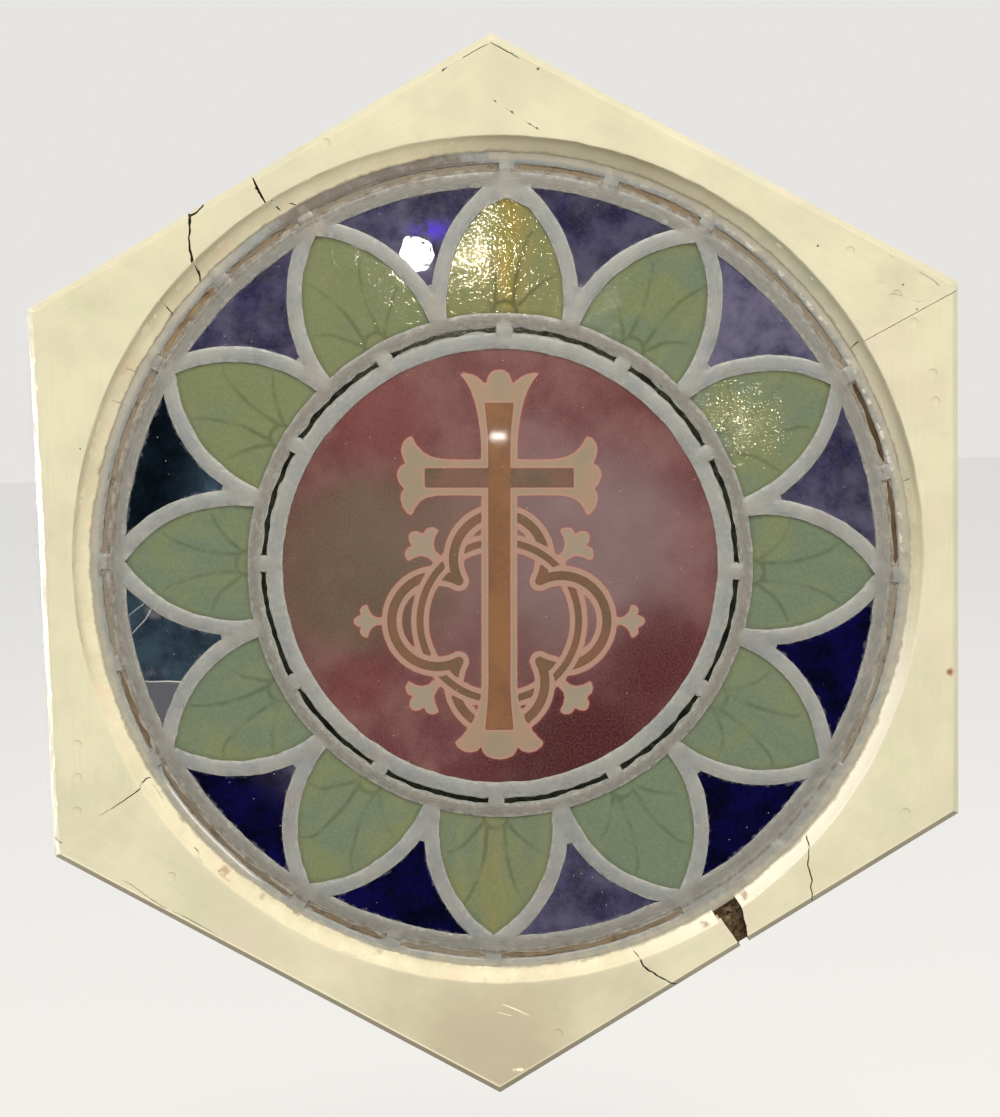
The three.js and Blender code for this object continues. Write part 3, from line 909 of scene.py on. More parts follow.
# A leaf bud, drawn outward from its stalk, which a strap or the knot ends in.
BUD = [(-2.0, 0), (-2.0, 3.2), (6, 3.4), (10, 5.6), (12.6, 9.6), (14.2, 14.8), (18.2, 13.8), (20.8, 10.2),
       (20.4, 6.8), (19.2, 5.4), (22.8, 4.8), (25.7, 2.6), (26.6, 0)]
MOTIF_TURN = 1.5
KNOT_DROP = -44.0


def upright(flat):
    """The ornament's own axes: it stands a little turned in the frame, right of the centre."""
    turn = math.radians(MOTIF_TURN)
    x = flat[:, 0] * math.cos(turn) - flat[:, 1] * math.sin(turn) + 0.6
    return np.stack([x, flat[:, 0] * math.sin(turn) + flat[:, 1] * math.cos(turn) - 4.0], -1)


def strap_and_fill(away, width, strap):
    """A band of two straps with a stained fill between them, from distance to its middle."""
    return away - width / 2, away - (width / 2 - strap)


def painted_ornament(flat):
    """Signed distances from the straps and from the stained fill between them, and how much of the
    fill is the staff's amber."""
    here = upright(flat)
    cross = signed(here, both_sides(CROSS))
    staff = signed(here, both_sides(CROSS_STAFF))
    bar = signed(here, both_sides(CROSS_BAR))
    cross_fill = np.minimum(staff, bar)

    knot = here - (0, KNOT_DROP)
    turn = np.linspace(0, 2 * np.pi, 241)
    off = (turn + np.pi / 4) % (np.pi / 2) - np.pi / 4
    reach = 46 * np.cos(off) + np.sqrt(34 ** 2 - (46 * np.sin(off)) ** 2)
    foils = np.stack([reach * np.cos(turn), reach * np.sin(turn)], -1)
    foil_outer, foil_fill = strap_and_fill(from_line(knot, foils)[0], 15.0, 4.2)
    ring_outer, ring_fill = strap_and_fill(abs(radius_of(knot) - 59.0), 13.0, 4.0)

    eighth = np.degrees(np.arctan2(knot[:, 1], knot[:, 0])) // 45
    foils_over = eighth % 2 == 0
    foil_strap, ring_strap = np.maximum(foil_outer, -foil_fill), np.maximum(ring_outer, -ring_fill)
    fill = np.where(foils_over, np.minimum(foil_fill, np.maximum(ring_fill, -foil_outer)),
                    np.minimum(ring_fill, np.maximum(foil_fill, -ring_outer)))
    strap = np.where(foils_over, np.minimum(foil_strap, np.maximum(ring_strap, -foil_outer)),
                     np.minimum(ring_strap, np.maximum(foil_strap, -ring_outer)))

    bud = both_sides([(v, u) for u, v in BUD])
    whole = np.minimum(foil_outer, ring_outer)
    buds = np.full(len(flat), 1e9)
    for bearing, start, size in [(0, 86, 0.85), (180, 86, 0.85), (45, 64, 1.1), (135, 64, 1.1),
                                 (225, 64, 1.1), (315, 64, 1.1)]:
        out = np.array([math.cos(math.radians(bearing)), math.sin(math.radians(bearing))])
        local = np.stack([knot @ np.array([-out[1], out[0]]), knot @ out - start], -1) / size
        buds = np.minimum(buds, signed(local, bud) * size)
    buds = np.maximum(buds, -whole)
    strap = np.minimum(strap, buds)

    knot_strap, knot_fill = np.maximum(strap, -cross), np.maximum(fill, -cross)
    strap = np.minimum(np.maximum(cross, -cross_fill), knot_strap)
    amber = np.where(staff < 0.4, 1.0, np.where(cross < 0, 0.0, 0.35))
    return strap, np.minimum(cross_fill, knot_fill), amber


# Rolled and hammered glass: long draw lines with a fine hammered skin, as a height.
rolled, rolled_in, rolled_out = new_group(
    "rolled_glass", {"Where": ("vector", None), "Ripple": ("value", 60.0), "Hammer": ("value", 240.0),
                     "Hammered": ("value", 0.5)}, {"Height": "value"})
swell = noise(rolled_in["Where"], rolled_in["Ripple"], 1.5, bend=0.4)
dimple = noise(rolled_in["Where"], rolled_in["Hammer"], 1.0, bend=1.2)
skin = put(rolled, "Mix", {0: rolled_in["Hammered"], 2: swell, 3: dimple}, data_type="FLOAT")
rolled.links.new(skin.outputs[0], rolled_out["Height"])


def set_glass(shader, through, gloss=0.32):
    """Plain values shared by the glasses: how much light passes, and how glossy the skin is."""
    shader.inputs["Transmission Weight"].default_value = through
    shader.inputs["IOR"].default_value = 1.5
    shader.inputs["Specular IOR Level"].default_value = gloss


def specks(where, scale):
    """The distance from each of many scattered specks."""
    return put(where.id_data, "TexVoronoi", {"Vector": where, "Scale": scale}).outputs["Distance"]


def spot(where, x, z, reach, soft, seed):
    """A soft cloudy area about a point on the rose, in millimetres."""
    centre = (x * MM, glass_front, z * MM + rose_centre.z)
    away = put(where.id_data, "VectorMath", {0: where, 1: centre}, operation="DISTANCE").outputs["Value"]
    ragged = sway(mottle(shifted(where, seed, seed), 55, 4.0, 0.6), reach * MM * 1.1)
    return ramp(plus(away, ragged), (reach + soft) * MM, (reach - soft) * MM)


ruby_finish, tree, shader, where = new_finish("flashed_ruby_glass")
cloud = mottle(where, 42, 5.0, 0.62)
ruby = lay_over(ramp(cloud, 0.32, 0.68), (93, 42, 46), (121, 81, 78))
# Its clouds: x, z, reach, softness, seed, strength and colour. The pale mauve and the olive ones are
# partly dust on the glass and partly painted reflection; the red ones deepen the ruby.
RUBY_CLOUDS = [
    (64, 22, 72, 40, 1.3, 0.66, (129, 114, 118)), (5, -30, 70, 50, 4.1, 0.42, (118, 102, 98)),
    (-112, 2, 62, 34, 2.2, 0.9, (90, 80, 60)), (-50, 30, 46, 30, 6.2, 0.55, (104, 92, 78)),
    (-84, 116, 34, 20, 5.2, 0.6, (112, 44, 46)), (50, -150, 62, 34, 3.4, 0.92, (62, 9, 15)),
    (118, -72, 40, 26, 8.4, 0.8, (70, 16, 22)), (-104, -86, 22, 8, 9.4, 0.5, (108, 44, 44))]
for *place, share, tone in RUBY_CLOUDS:
    ruby = coats(ruby, (spot(where, *place), tone, share))
strap, fill, amber = (mark_of(tree, name) for name in ("strap", "fill", "amber"))
ruby = lay_over(ramp(strap, 2.6, 0.2, 0.0, 0.2), ruby, (156, 62, 62))
grey = mottle(shifted(where, 2.0, 9.0), 30, 3.0)
in_knot = maths("LESS_THAN", maths("ABSOLUTE", minus(amber, 0.35)), 0.1)
strap_tone = coats(
    lay_over(ramp(grey, 0.38, 0.62), (159, 136, 112), (146, 135, 113)),
    (in_knot, lay_over(grey, (158, 141, 122), (142, 141, 122)), 0.85),
    (ramp(strap, -2.4, -0.2), (178, 134, 118)))
fill_tone = coats(
    lay_over(ramp(grey, 0.4, 0.6), (113, 82, 64), (88, 80, 60)),
    (amber, lay_over(ramp(cloud, 0.35, 0.65), (136, 95, 56), (118, 80, 46))),
    (ramp(fill, -1.6, 0.3, 0.0, 0.4), (92, 62, 44)))
soft_edge = sway(mottle(where, 2.2, 2.0), 0.9)
dust = effect(grime, Where=where, Patch=22.0, Cover=0.44, Edge=0.3)
fine = mottle(where, 1.6, 3.0, 0.7)
speck = specks(where, 95.0)
picture = coats(
    lay_over(ramp(plus(strap, soft_edge), 0.5, -0.5), ruby, strap_tone),
    (ramp(plus(fill, soft_edge), 0.45, -0.45), fill_tone),
    (dust["Mask"], (168, 150, 146), 0.16),
    (ramp(fine, 0.35, 0.75, 0.0, 0.22), (170, 120, 118)),
    (ramp(speck, 0.045, 0.03, 0.0, 0.7), (214, 196, 186)))
skin = effect(rolled, Where=where, Ripple=34.0, Hammer=150.0, Hammered=0.3)
feed(shader, picture, ramp(cloud, 0.3, 0.7, 0.3, 0.42), skin["Height"], depth=0.1, strength=0.5)
shader.inputs["Coat Weight"].default_value = 0.6
shader.inputs["Coat Roughness"].default_value = 0.04
set_glass(shader, 0.1)

ROUNDEL_RADIUS = 161.5
roundel_grid = disc_grid(180, ROUNDEL_RADIUS + BITE - 0.2)
roundel_flat = roundel_grid.reshape(-1, 2)
strap_mark, fill_mark, amber_mark = painted_ornament(roundel_flat)
make_pane("centre_roundel", roundel_grid, ruby_finish, 41,
          {"strap": strap_mark, "fill": fill_mark, "amber": amber_mark},
          sheet_wobble(roundel_flat, 41, 0.06, 0.001))


# ==== The dark strips round the roundel =========
# Twelve narrow strips of bottle-green glass, almost black, in a ring between the roundel's lead and
# the feet of the petals. Each is flat sheet, cut to its curve and cleaned up with the grozing iron.

def strip_grid(inner, outer, start, end):
    """A strip between two radii and two angles of the rose."""
    along = max(8, int(np.radians(end - start) * outer / 2.6))
    angles, radii = np.meshgrid(np.linspace(start, end, along + 1), np.linspace(inner, outer, 7))
    return polar(radii, ROSE_TURN + angles)


def degrees_for(width, inner, outer):
    return math.degrees(width / (inner + outer))


dark_finish, tree, shader, where = new_finish("bottle_dark_glass")
cloud = mottle(where, 12, 4.0, 0.6)
dust = effect(grime, Where=where, Patch=130.0, Cover=0.42, Edge=0.16)
dark = coats(
    lay_over(ramp(cloud, 0.35, 0.65), (10, 13, 9), (30, 34, 26)),
    (dust["Mask"], (112, 114, 98), 0.3))
skin = effect(rolled, Where=where, Ripple=80.0, Hammer=300.0, Hammered=0.4)
feed(shader, dark, ramp(cloud, 0.3, 0.7, 0.14, 0.4), skin["Height"], depth=0.2)
set_glass(shader, 0.1)

INNER_STRIP = (172.5, 178.0)
INNER_BAR = 10.8
inner_half = degrees_for(INNER_BAR, *INNER_STRIP)
for k in range(12):
    bite = math.degrees(BITE / 175)
    grid = strip_grid(INNER_STRIP[0] - BITE, INNER_STRIP[1] + BITE, k * STEP + inner_half - bite,
                      (k + 1) * STEP - inner_half + bite)
    make_pane(f"inner_strip_{k + 1:02d}", grid, dark_finish, 50 + k)


# ==== The petals ================================
# Twelve petals of streaky green cathedral glass, yellower towards the top of the rose, with a few
# veins painted in thin brown enamel that springs from a half-round boss at the foot.

PETAL_BASE = 187.3
PETAL_ARC = 99.3
ARC_ACROSS, ARC_OUT = 56.2, 196.4


def petal_grid(turn, rows=58, columns=52):
    """A petal about its own axis, and the same points turned to its place in the rose."""
    arc, foot = PETAL_ARC + BITE, PETAL_BASE - BITE

    def half(out):
        return -ARC_ACROSS + np.sqrt(arc ** 2 - (out - ARC_OUT) ** 2)

    tip = ARC_OUT + math.sqrt(arc ** 2 - ARC_ACROSS ** 2)
    corner = foot
    for _ in range(20):
        corner = math.sqrt(foot ** 2 - half(corner) ** 2)
    out, across = np.meshgrid(np.linspace(0, 0.985, rows + 1), np.linspace(-1, 1, columns + 1),
                              indexing="ij")
    level = corner + out * (tip - corner)
    x = across * half(level)
    z = level + (1 - out) * (1 - across ** 2) * (foot - corner)
    own = np.stack([x, z], -1)
    return own, turned(own, turn)


def turned(flat, angle):
    s, c = math.sin(math.radians(angle)), math.cos(math.radians(angle))
    x, z = flat[..., 0], flat[..., 1]
    return np.stack([x * c + z * s, z * c - x * s], -1)


VEINS = [
    [(6.5, 195.6), (7.2, 206), (8.3, 218), (12.5, 233.5), (17.3, 245.5), (22, 252)],
    [(10.2, 193.0), (13.5, 197.5), (17.9, 202.7), (27.2, 210.6), (37.2, 214.8)],
]
BOSS_RADIUS = 9.0


def eased(line):
    """Rounds a line's corners."""
    for _ in range(3):
        cut = np.stack([line[:-1] * 0.75 + line[1:] * 0.25, line[:-1] * 0.25 + line[1:] * 0.75], 1)
        line = np.concatenate([line[:1], cut.reshape(-1, 2), line[-1:]])
    return line


def vein_distance(own, draw):
    """Distance from the nearest painted vein; each petal's veins are drawn by hand."""
    away = np.full(len(own), 1e9)
    for side in (-1, 1):
        for vein in VEINS:
            line = np.array(vein, float) * (side, 1)
            line[1:] += draw.normal(0, 1.0, line[1:].shape) * np.linspace(0.2, 1.2, len(line) - 1)[:, None]
            line = eased(line)
            distance, along = from_line(own, line, np.linspace(0, 1, len(line)))
            away = np.minimum(away, distance + along ** 2 * 0.8)
    boss = abs(np.hypot(own[:, 0], own[:, 1] - PETAL_BASE) - BOSS_RADIUS)
    return np.minimum(away, boss)


petal_finish, tree, shader, where = new_finish("streaky_green_glass")
warmth, gold, vein = mark_of(tree, "warmth"), mark_of(tree, "gold"), mark_of(tree, "vein")
patch = plus(mottle(where, 46, 3.0, 0.5, 0.5), sway(warmth, 0.42))
streaky = noise(stretched(mark_of(tree, "own_place", vector=True), (1.0, 0.18, 1.0)), 95.0)
teal = mottle(shifted(where, 5.0, 3.0), 30, 3.0)
golden = lay_over(ramp(streaky, 0.4, 0.66), (138, 128, 62), (164, 136, 60))
bloom = effect(grime, Where=where, Patch=34.0, Cover=0.42, Edge=0.3)
fine = mottle(where, 1.8, 3.0, 0.65)
brush_edge = sway(mottle(where, 5, 3.0), 0.7)
inked = ramp(plus(vein, brush_edge), 2.6, 0.4, 0.0, 1.0)
faded = ramp(mottle(shifted(where, 8.0, 1.0), 22, 2.0), 0.36, 0.6, 0.12, 0.42)
faded = plus(faded, times(gold, 0.3))
# Darker towards the lead all round.
rim_darkening = ramp(plus(mark_of(tree, "to_lead"), brush_edge), 4.5, 0.4, 0.0, 0.38)
green = coats(
    lay_over(ramp(patch, 0.36, 0.64), (107, 122, 101), (119, 128, 91)),
    (ramp(streaky, 0.42, 0.7, 0.0, 0.4), (126, 133, 99)),
    (ramp(teal, 0.56, 0.72, 0.0, 0.4), (104, 124, 104)),
    (gold, golden),
    (bloom["Mask"], (146, 146, 126), 0.22),
    (ramp(fine, 0.4, 0.72, 0.0, 0.2), (160, 164, 134)),
    (times(inked, faded), (66, 74, 50)),
    (rim_darkening, (92, 98, 76)))
skin = effect(rolled, Where=where, Ripple=62.0, Hammer=290.0, Hammered=0.95)
feed(shader, green, ramp(patch, 0.3, 0.7, 0.03, 0.045), skin["Height"], depth=0.1, strength=1.0)
set_glass(shader, 0.14)

# How yellow each petal is, clockwise from the top, and which are golden and how much.
WARMTH = [0.95, 0.4, 0.55, 0.2, 0.3, 0.2, 0.5, 0.5, 0.3, 0.4, 0.85, 1.0]
GOLD = {0: 1.0, 6: 0.3, 11: 0.04}
hand = np.random.default_rng(61)
for k in range(12):
    own, grid = petal_grid(ROSE_TURN + k * STEP)
    own_flat, flat = own.reshape(-1, 2), grid.reshape(-1, 2)
    to_arc = PETAL_ARC - np.hypot(abs(own_flat[:, 0]) + ARC_ACROSS, own_flat[:, 1] - ARC_OUT)
    to_lead = np.minimum(to_arc, radius_of(own_flat) - PETAL_BASE)
    tip_share = np.clip((own_flat[:, 1] - 190) / 90, 0, 1)
    golden_heart = GOLD.get(k, 0.0) * (0.3 + 0.7 * np.exp(-((own_flat[:, 0] - 3) / 9) ** 2))
    golden_heart = golden_heart * (0.75 + 0.25 * tip_share)
    place = np.zeros((len(flat), 3))
    place[:, :2] = own_flat * MM
    place[:, 2] = k * 0.37
    make_pane(f"petal_{k + 1:02d}", grid, petal_finish, 70 + k,
              {"warmth": np.full(len(flat), WARMTH[k]), "gold": golden_heart,
               "vein": vein_distance(own_flat, hand), "to_lead": to_lead, "own_place": place})


# ==== The spandrels =============================
# The spaces between the petals, in mottled blue pot-metal glass. Two on the left are a greener blue
# and one of them is cracked; several have a bloom of old dirt that greys the blue, and the one with
# the hollow has a painted violet glow beside its glint.

PETAL_CAME = 10.9
SPANDREL_TOP, SPANDREL_FOOT = 279.0, 214.0


def spandrel_half(radii, arc):
    """Half the angle that a spandrel spans at each radius, between two arcs of the given radius."""
    reach = math.hypot(ARC_ACROSS, ARC_OUT)
    lean = STEP / 2 + math.degrees(math.atan2(ARC_ACROSS, ARC_OUT))
    return lean - np.degrees(np.arccos((radii ** 2 + reach ** 2 - arc ** 2) / (2 * radii * reach)))


def spandrel_grid(turn, rows, columns):
    radii = np.linspace(SPANDREL_FOOT - BITE, SPANDREL_TOP + BITE, rows + 1)
    half = spandrel_half(radii, PETAL_ARC + PETAL_CAME - BITE)
    across = np.linspace(-1, 1, columns + 1)
    return polar(radii[:, None], turn + half[:, None] * across[None, :])


blue_finish, tree, shader, where = new_finish("mottled_blue_glass")
haze, teal_share = mark_of(tree, "haze"), mark_of(tree, "teal")
cloud = mottle(where, 20, 5.0, 0.65)
green_blue = lay_over(ramp(cloud, 0.34, 0.68), (1, 7, 14), (10, 21, 30))
bloom = ramp(mottle(shifted(where, 4.0, 7.0), 26, 5.0, 0.62), 0.3, 0.72)
hazed = times(haze, plus(0.3, bloom))
fine = mottle(where, 1.5, 3.0, 0.7)
graininess = times(ramp(fine, 0.44, 0.74), plus(0.02, times(haze, 0.45)))
dusty = plus(mark_of(tree, "dusty"), sway(cloud, 1.2))
edge_dust = plus(mark_of(tree, "to_lead"), sway(mottle(where, 6, 4.0, 0.7), 9.0))
speck = specks(where, 120.0)
blue = coats(
    lay_over(ramp(cloud, 0.34, 0.68), (1, 1, 24), (7, 5, 60)),
    (teal_share, green_blue),
    (hazed, lay_over(teal_share, (104, 101, 124), (86, 114, 132))),
    # Painted glow: violet light beside the glint in the hollowed pane.
    (times(mark_of(tree, "painted_violet_glow"), ramp(cloud, 0.4, 0.55)), (84, 62, 214)),
    (graininess, (96, 94, 134)),
    (ramp(dusty, 0.35, 0.8, 0.0, 0.8), (98, 97, 104)),
    (ramp(edge_dust, 1.6, -0.8, 0.0, 0.55), (120, 120, 132)),
    (ramp(speck, 0.06, 0.035, 0.0, 0.8), (190, 190, 214)),
    (ramp(mark_of(tree, "broken"), 0.75, 0.25, 0.0, 0.9), (206, 208, 206)))
skin = effect(rolled, Where=where, Ripple=40.0, Hammer=170.0, Hammered=0.25)
feed(shader, blue, ramp(bloom, 0.0, 1.0, 0.02, 0.05), skin["Height"], depth=0.012, strength=0.5)
set_glass(shader, 0.12, gloss=0.1)

# How greyed by dirt each is, clockwise from just right of the top, and which are greener.
HAZE = [0.44, 0.8, 0.46, 0.0, 0.0, 0.5, 0.0, 0.0, 0.27, 0.0, 0.48, 0.58]
GREENER = (8, 9)
BREAKS = [[(-281.0, -31.6), (-273, -25.2), (-264.2, -19.0)],
          [(-278.5, -45.6), (-270.5, -37.2), (-264.9, -31.7), (-262.0, -27.2), (-259.4, -22.0)],
          [(-275.0, -77.2), (-262.6, -78.4), (-250, -78.4), (-239.2, -79.2)]]
# A shallow hollow in the last pane, which catches the light.
HOLLOW = (-55.0, 232.2)
CRACKED, HOLLOWED = 8, 11
petal_tops = [turned(np.array([-ARC_ACROSS, ARC_OUT]), -STEP / 2),
              turned(np.array([ARC_ACROSS, ARC_OUT]), STEP / 2)]
for k in range(12):
    turn = ROSE_TURN + (k + 0.5) * STEP
    grid = spandrel_grid(turn, *((110, 80) if k in (CRACKED, HOLLOWED) else (46, 40)))
    flat = grid.reshape(-1, 2)
    own = turned(flat, -turn)
    to_lead = np.minimum.reduce([radius_of(own - top) - PETAL_ARC - PETAL_CAME for top in petal_tops]
                                + [SPANDREL_TOP - radius_of(own)])
    haze_here = HAZE[k] + (0.5 * np.exp(-((radius_of(flat) - 212) / 20) ** 2) if k in (7, 9) else 0)
    broken = np.full(len(flat), 9.0)
    dusty = np.zeros(len(flat))
    wobble = sheet_wobble(flat, 90 + k, *((0.02, 0.0008) if k == HOLLOWED else (0.16, 0.03)))
    painted_violet_glow = np.zeros(len(flat))
    if k == HOLLOWED:
        dish = radius_of(flat - HOLLOW) / (12.5 + 2.2 * waves(flat, 11, 37))
        wobble += (0.062 * np.clip(1 - dish ** 2, 0, 1) + 0.0012 * waves(flat, 5, 38)) * MM
        # A painted violet glow just above the glint that the hollow catches.
        painted_violet_glow = np.exp(-((flat[:, 0] + 44) / 12) ** 2 - ((flat[:, 1] - 248.5) / 6) ** 2)
    if k == CRACKED:
        for line in BREAKS:
            broken = np.minimum(broken, from_line(flat, along_path(line, 2.0))[0])
        lower = flat[:, 1] < -79.0 - 0.02 * (flat[:, 0] + 260)
        from_break = np.hypot(flat[:, 0] + 262, (flat[:, 1] + 71) * 1.2)
        dusty = np.where(lower, 1.0, 0.75 * np.exp(-from_break / 14))
        corner = radius_of(flat - (-258, -26))
        dusty = np.maximum(dusty, 0.8 * np.exp(-(corner / 9) ** 2))
        wobble += 0.00025 * np.clip(1 - broken / 0.9, 0, 1)
    make_pane(f"spandrel_{k + 1:02d}", grid, blue_finish, 90 + k,
              {"haze": haze_here + np.zeros(len(flat)), "painted_violet_glow": painted_violet_glow,
               "teal": np.full(len(flat), k in GREENER), "dusty": dusty, "broken": broken,
               "to_lead": to_lead}, wobble)


# ==== The border strips =========================
# Narrow strips of amber glass between the two outer leads, browned with dirt and with a painted
# shadow of the outer lead along their outer edge; some twelfths have one strip and some two, and one
# was lost and its channel filled with lead.

amber_finish, tree, shader, where = new_finish("dirty_amber_glass")
cloud = mottle(where, 18, 4.0, 0.62)
dust = effect(grime, Where=where, Patch=46.0, Cover=0.5, Edge=0.2)
mud = effect(grime, Where=shifted(where, 3.0, 3.0), Patch=90.0, Cover=0.44, Edge=0.1)
edge = mark_of(tree, "to_lead")
amber_glass = coats(
    lay_over(ramp(cloud, 0.36, 0.66), (118, 92, 60), (150, 124, 82)),
    (dust["Mask"], (128, 118, 102), 0.8),
    (mark_of(tree, "soot"), (138, 132, 119)),
    (mark_of(tree, "browned"), (62, 50, 34)),
    (mud["Mask"], (84, 68, 48), 0.6),
    # Painted shadow of the outer lead along each strip's outer edge.
    (ramp(plus(edge, times(cloud, 2.0)), 2.3, 1.4, 0.0, 0.85), (44, 34, 24)))
skin = effect(rolled, Where=where, Ripple=90.0, Hammer=320.0, Hammered=0.5)
feed(shader, amber_glass, ramp(cloud, 0.3, 0.7, 0.2, 0.5), skin["Height"], depth=0.3)
set_glass(shader, 0.12)

BORDER_STRIP = (289.2, 295.8)
BORDER_BAR = 11.0
BORDER_PLAN = [2, 1, 2, 1, 0, 1, 2, 1, 2, 1, 2, 1]
# Angle, how grey with dust the strip is there, and how brown with dirt.
SOOT = [(0, 0.6, 0.0), (8, 0.5, 0.0), (22, 0.35, 0.1), (45, 0.7, 0.0), (67, 0.0, 0.85), (82, 0.1, 0.7),
        (105, 0.95, 0.0), (165, 0.4, 0.1), (188, 0.75, 0.0), (203, 0.5, 0.25), (225, 0.7, 0.3),
        (248, 0.3, 0.35), (263, 1.0, 0.0), (287, 0.75, 0.0), (309, 0.1, 0.0), (323, 0.5, 0.1),
        (345, 0.8, 0.0), (360, 0.6, 0.0)]
border_half = degrees_for(BORDER_BAR, *BORDER_STRIP)
bite = math.degrees(BITE / 292)
border_bars = []
count = 0
for k, strips in enumerate(BORDER_PLAN):
    border_bars.append(k * STEP)
    for j in range(strips):
        length = STEP / strips
        start = k * STEP + j * length
        if j:
            border_bars.append(start)
        grid = strip_grid(BORDER_STRIP[0] - BITE, BORDER_STRIP[1] + BITE, start + border_half - bite,
                          start + length - border_half + bite)
        radii = radius_of(grid.reshape(-1, 2))
        to_lead = BORDER_STRIP[1] - radii
        soot, browned = (from_table(start + length / 2, SOOT, column) for column in (1, 2))
        count += 1
        make_pane(f"border_strip_{count:02d}", grid, amber_finish, 120 + count,
                  {"to_lead": to_lead, "soot": np.full(len(radii), soot),
                   "browned": np.full(len(radii), browned)})


# ==== The lead lattice ==========================
# Round-faced lead cames with the panes in their grooves, soldered at every joint on both sides. A
# repair has filled one twelfth of the border channel with lead and a lump of solder.

lead_low, lead_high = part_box("lead_lattice")
LEAD_RADIUS = 305.0
EDGE_RISE, CROWN_RISE = 0.36, 1.34  # height of a came's edge and of its crown above the glass
# The ring leads, each from the middle of its face and half its width.
CAME_RINGS = [((a + b) / 2, (b - a) / 2) for a, b in
              [(ROUNDEL_RADIUS, INNER_STRIP[0]), (INNER_STRIP[1], PETAL_BASE),
               (SPANDREL_TOP, BORDER_STRIP[0]), (BORDER_STRIP[1], LEAD_RADIUS)]]
BLEND = 7.0  # how sharply one lead's face gives way to the next
SOLDER_PROUD = 0.0012  # how far the highest solder stands in front of the leads, in metres
BACK_SHARE = 0.95  # the back was dressed a little flatter than the front


def arc_line(centre, radius, start, end, spacing=2.0):
    count = max(2, int(abs(end - start) * radius / spacing))
    turn = np.linspace(start, end, count + 1)
    return np.asarray(centre) + radius * np.stack([np.cos(turn), np.sin(turn)], -1)


def petal_opening(blunt=False):
    """The outline of a petal's light; solder has flooded the tip of the top one."""
    tip = math.acos(ARC_ACROSS / PETAL_ARC)
    reach = math.hypot(ARC_ACROSS, ARC_OUT)
    cosine = (PETAL_BASE ** 2 - reach ** 2 - PETAL_ARC ** 2) / (2 * reach * PETAL_ARC)
    foot = math.atan2(ARC_OUT, -ARC_ACROSS) - math.acos(cosine)
    side = arc_line((-ARC_ACROSS, ARC_OUT), PETAL_ARC, foot, tip)
    corner = math.degrees(math.atan2(side[0][0], side[0][1]))
    base = ring_line(PETAL_BASE, 2.0, -corner, corner)
    loop = np.concatenate([base[:-1], side, (side * (-1, 1))[::-1][1:]])
    if blunt:
        loop[:, 1] = np.where(loop[:, 1] > 264, 264 + (loop[:, 1] - 264) * 0.5, loop[:, 1])
    return loop


def spandrel_opening():
    radii = np.linspace(SPANDREL_FOOT, SPANDREL_TOP, 36)
    half = spandrel_half(radii, PETAL_ARC + PETAL_CAME)
    right = polar(radii, half)
    head = polar(SPANDREL_TOP, np.linspace(half[-1], -half[-1], 60))
    loop = np.concatenate([right[:-1], head, (right * (-1, 1))[::-1][1:]])
    return np.concatenate([loop, loop[:1]])


def strip_opening(inner, outer, start, end):
    out, back = ring_line(outer, 2.0, start, end), ring_line(inner, 2.0, start, end)[::-1]
    sides = steps(out[-1], back[0], 2.0)[1:-1], steps(back[-1], out[0], 2.0)[1:]
    return np.concatenate([out, sides[0], back, sides[1]])


openings = [ring_line(ROUNDEL_RADIUS, 2.0)]
for k in range(12):
    turn = ROSE_TURN + k * STEP
    openings += [turned(petal_opening(blunt=k == 0), turn), turned(spandrel_opening(), turn + STEP / 2),
                 turned(strip_opening(*INNER_STRIP, inner_half, STEP - inner_half), turn)]
    for j in range(BORDER_PLAN[k]):
        length = STEP / BORDER_PLAN[k]
        opening = strip_opening(*BORDER_STRIP, border_half, length - border_half)
        openings.append(turned(opening, turn + j * length))


def on_lead(flat):
    """Whether each point lies on lead: within the outer ring and in no opening."""
    on = radius_of(flat) < LEAD_RADIUS
    for opening in openings:
        low, high = opening.min(0), opening.max(0)
        near = on & (flat > low).all(1) & (flat < high).all(1)
        on[near] &= ~inside_line(flat[near], opening)
    return on


def hand_bent(flat):
    """The cames were bent and dressed by hand, so every line wanders a little."""
    drift = np.stack([waves(flat, 60, 301), waves(flat, 60, 302)], -1) * 0.3
    nicks = np.stack([waves(flat, 13, 303), waves(flat, 13, 304)], -1) * 0.06
    fade = np.clip((LEAD_RADIUS - radius_of(flat)) / 6, 0, 1)[:, None]
    return flat + (drift + nicks) * fade


# Solder joints: angle and radius on the rose, how wide the blob spreads, and how high it stands.
joint_hand = np.random.default_rng(310)
joints = []
for k in range(12):
    at = ROSE_TURN + k * STEP
    joints += [(at, 283.5, 9.5, 0.50), (at, 175.2, 7.5, 0.34), (at + STEP / 2, 190.5, 8.5, 0.42),
               (at, 168.0, 5.5, 0.2), (at + STEP / 2, 203.0, 5.5, 0.18)]
for bar_angle in border_bars:
    joints += [(ROSE_TURN + bar_angle, 293.0, 7.4, 0.55), (ROSE_TURN + bar_angle, 299.5, 5.0, 0.45)]
joints = [(a + joint_hand.normal(0, 0.25), r + joint_hand.normal(0, 0.8), w * joint_hand.uniform(0.85, 1.2),
           h * joint_hand.uniform(0.6, 1.35)) for a, r, w, h in joints]
joints.append((ROSE_TURN, 279.5, 12.0, 0.35))
# The filled twelfth: solder run along the channel, with its lump.
joints += [(125.5, 292.0, 8.0, 0.5), (129.0, 292.6, 6.5, 0.3), (144.8, 292.4, 8.5, 0.45),
           (136.9, 297.0, 6.0, 0.95), (134.6, 293.0, 5.0, 0.4), (140.4, 293.0, 6.0, 0.35)]


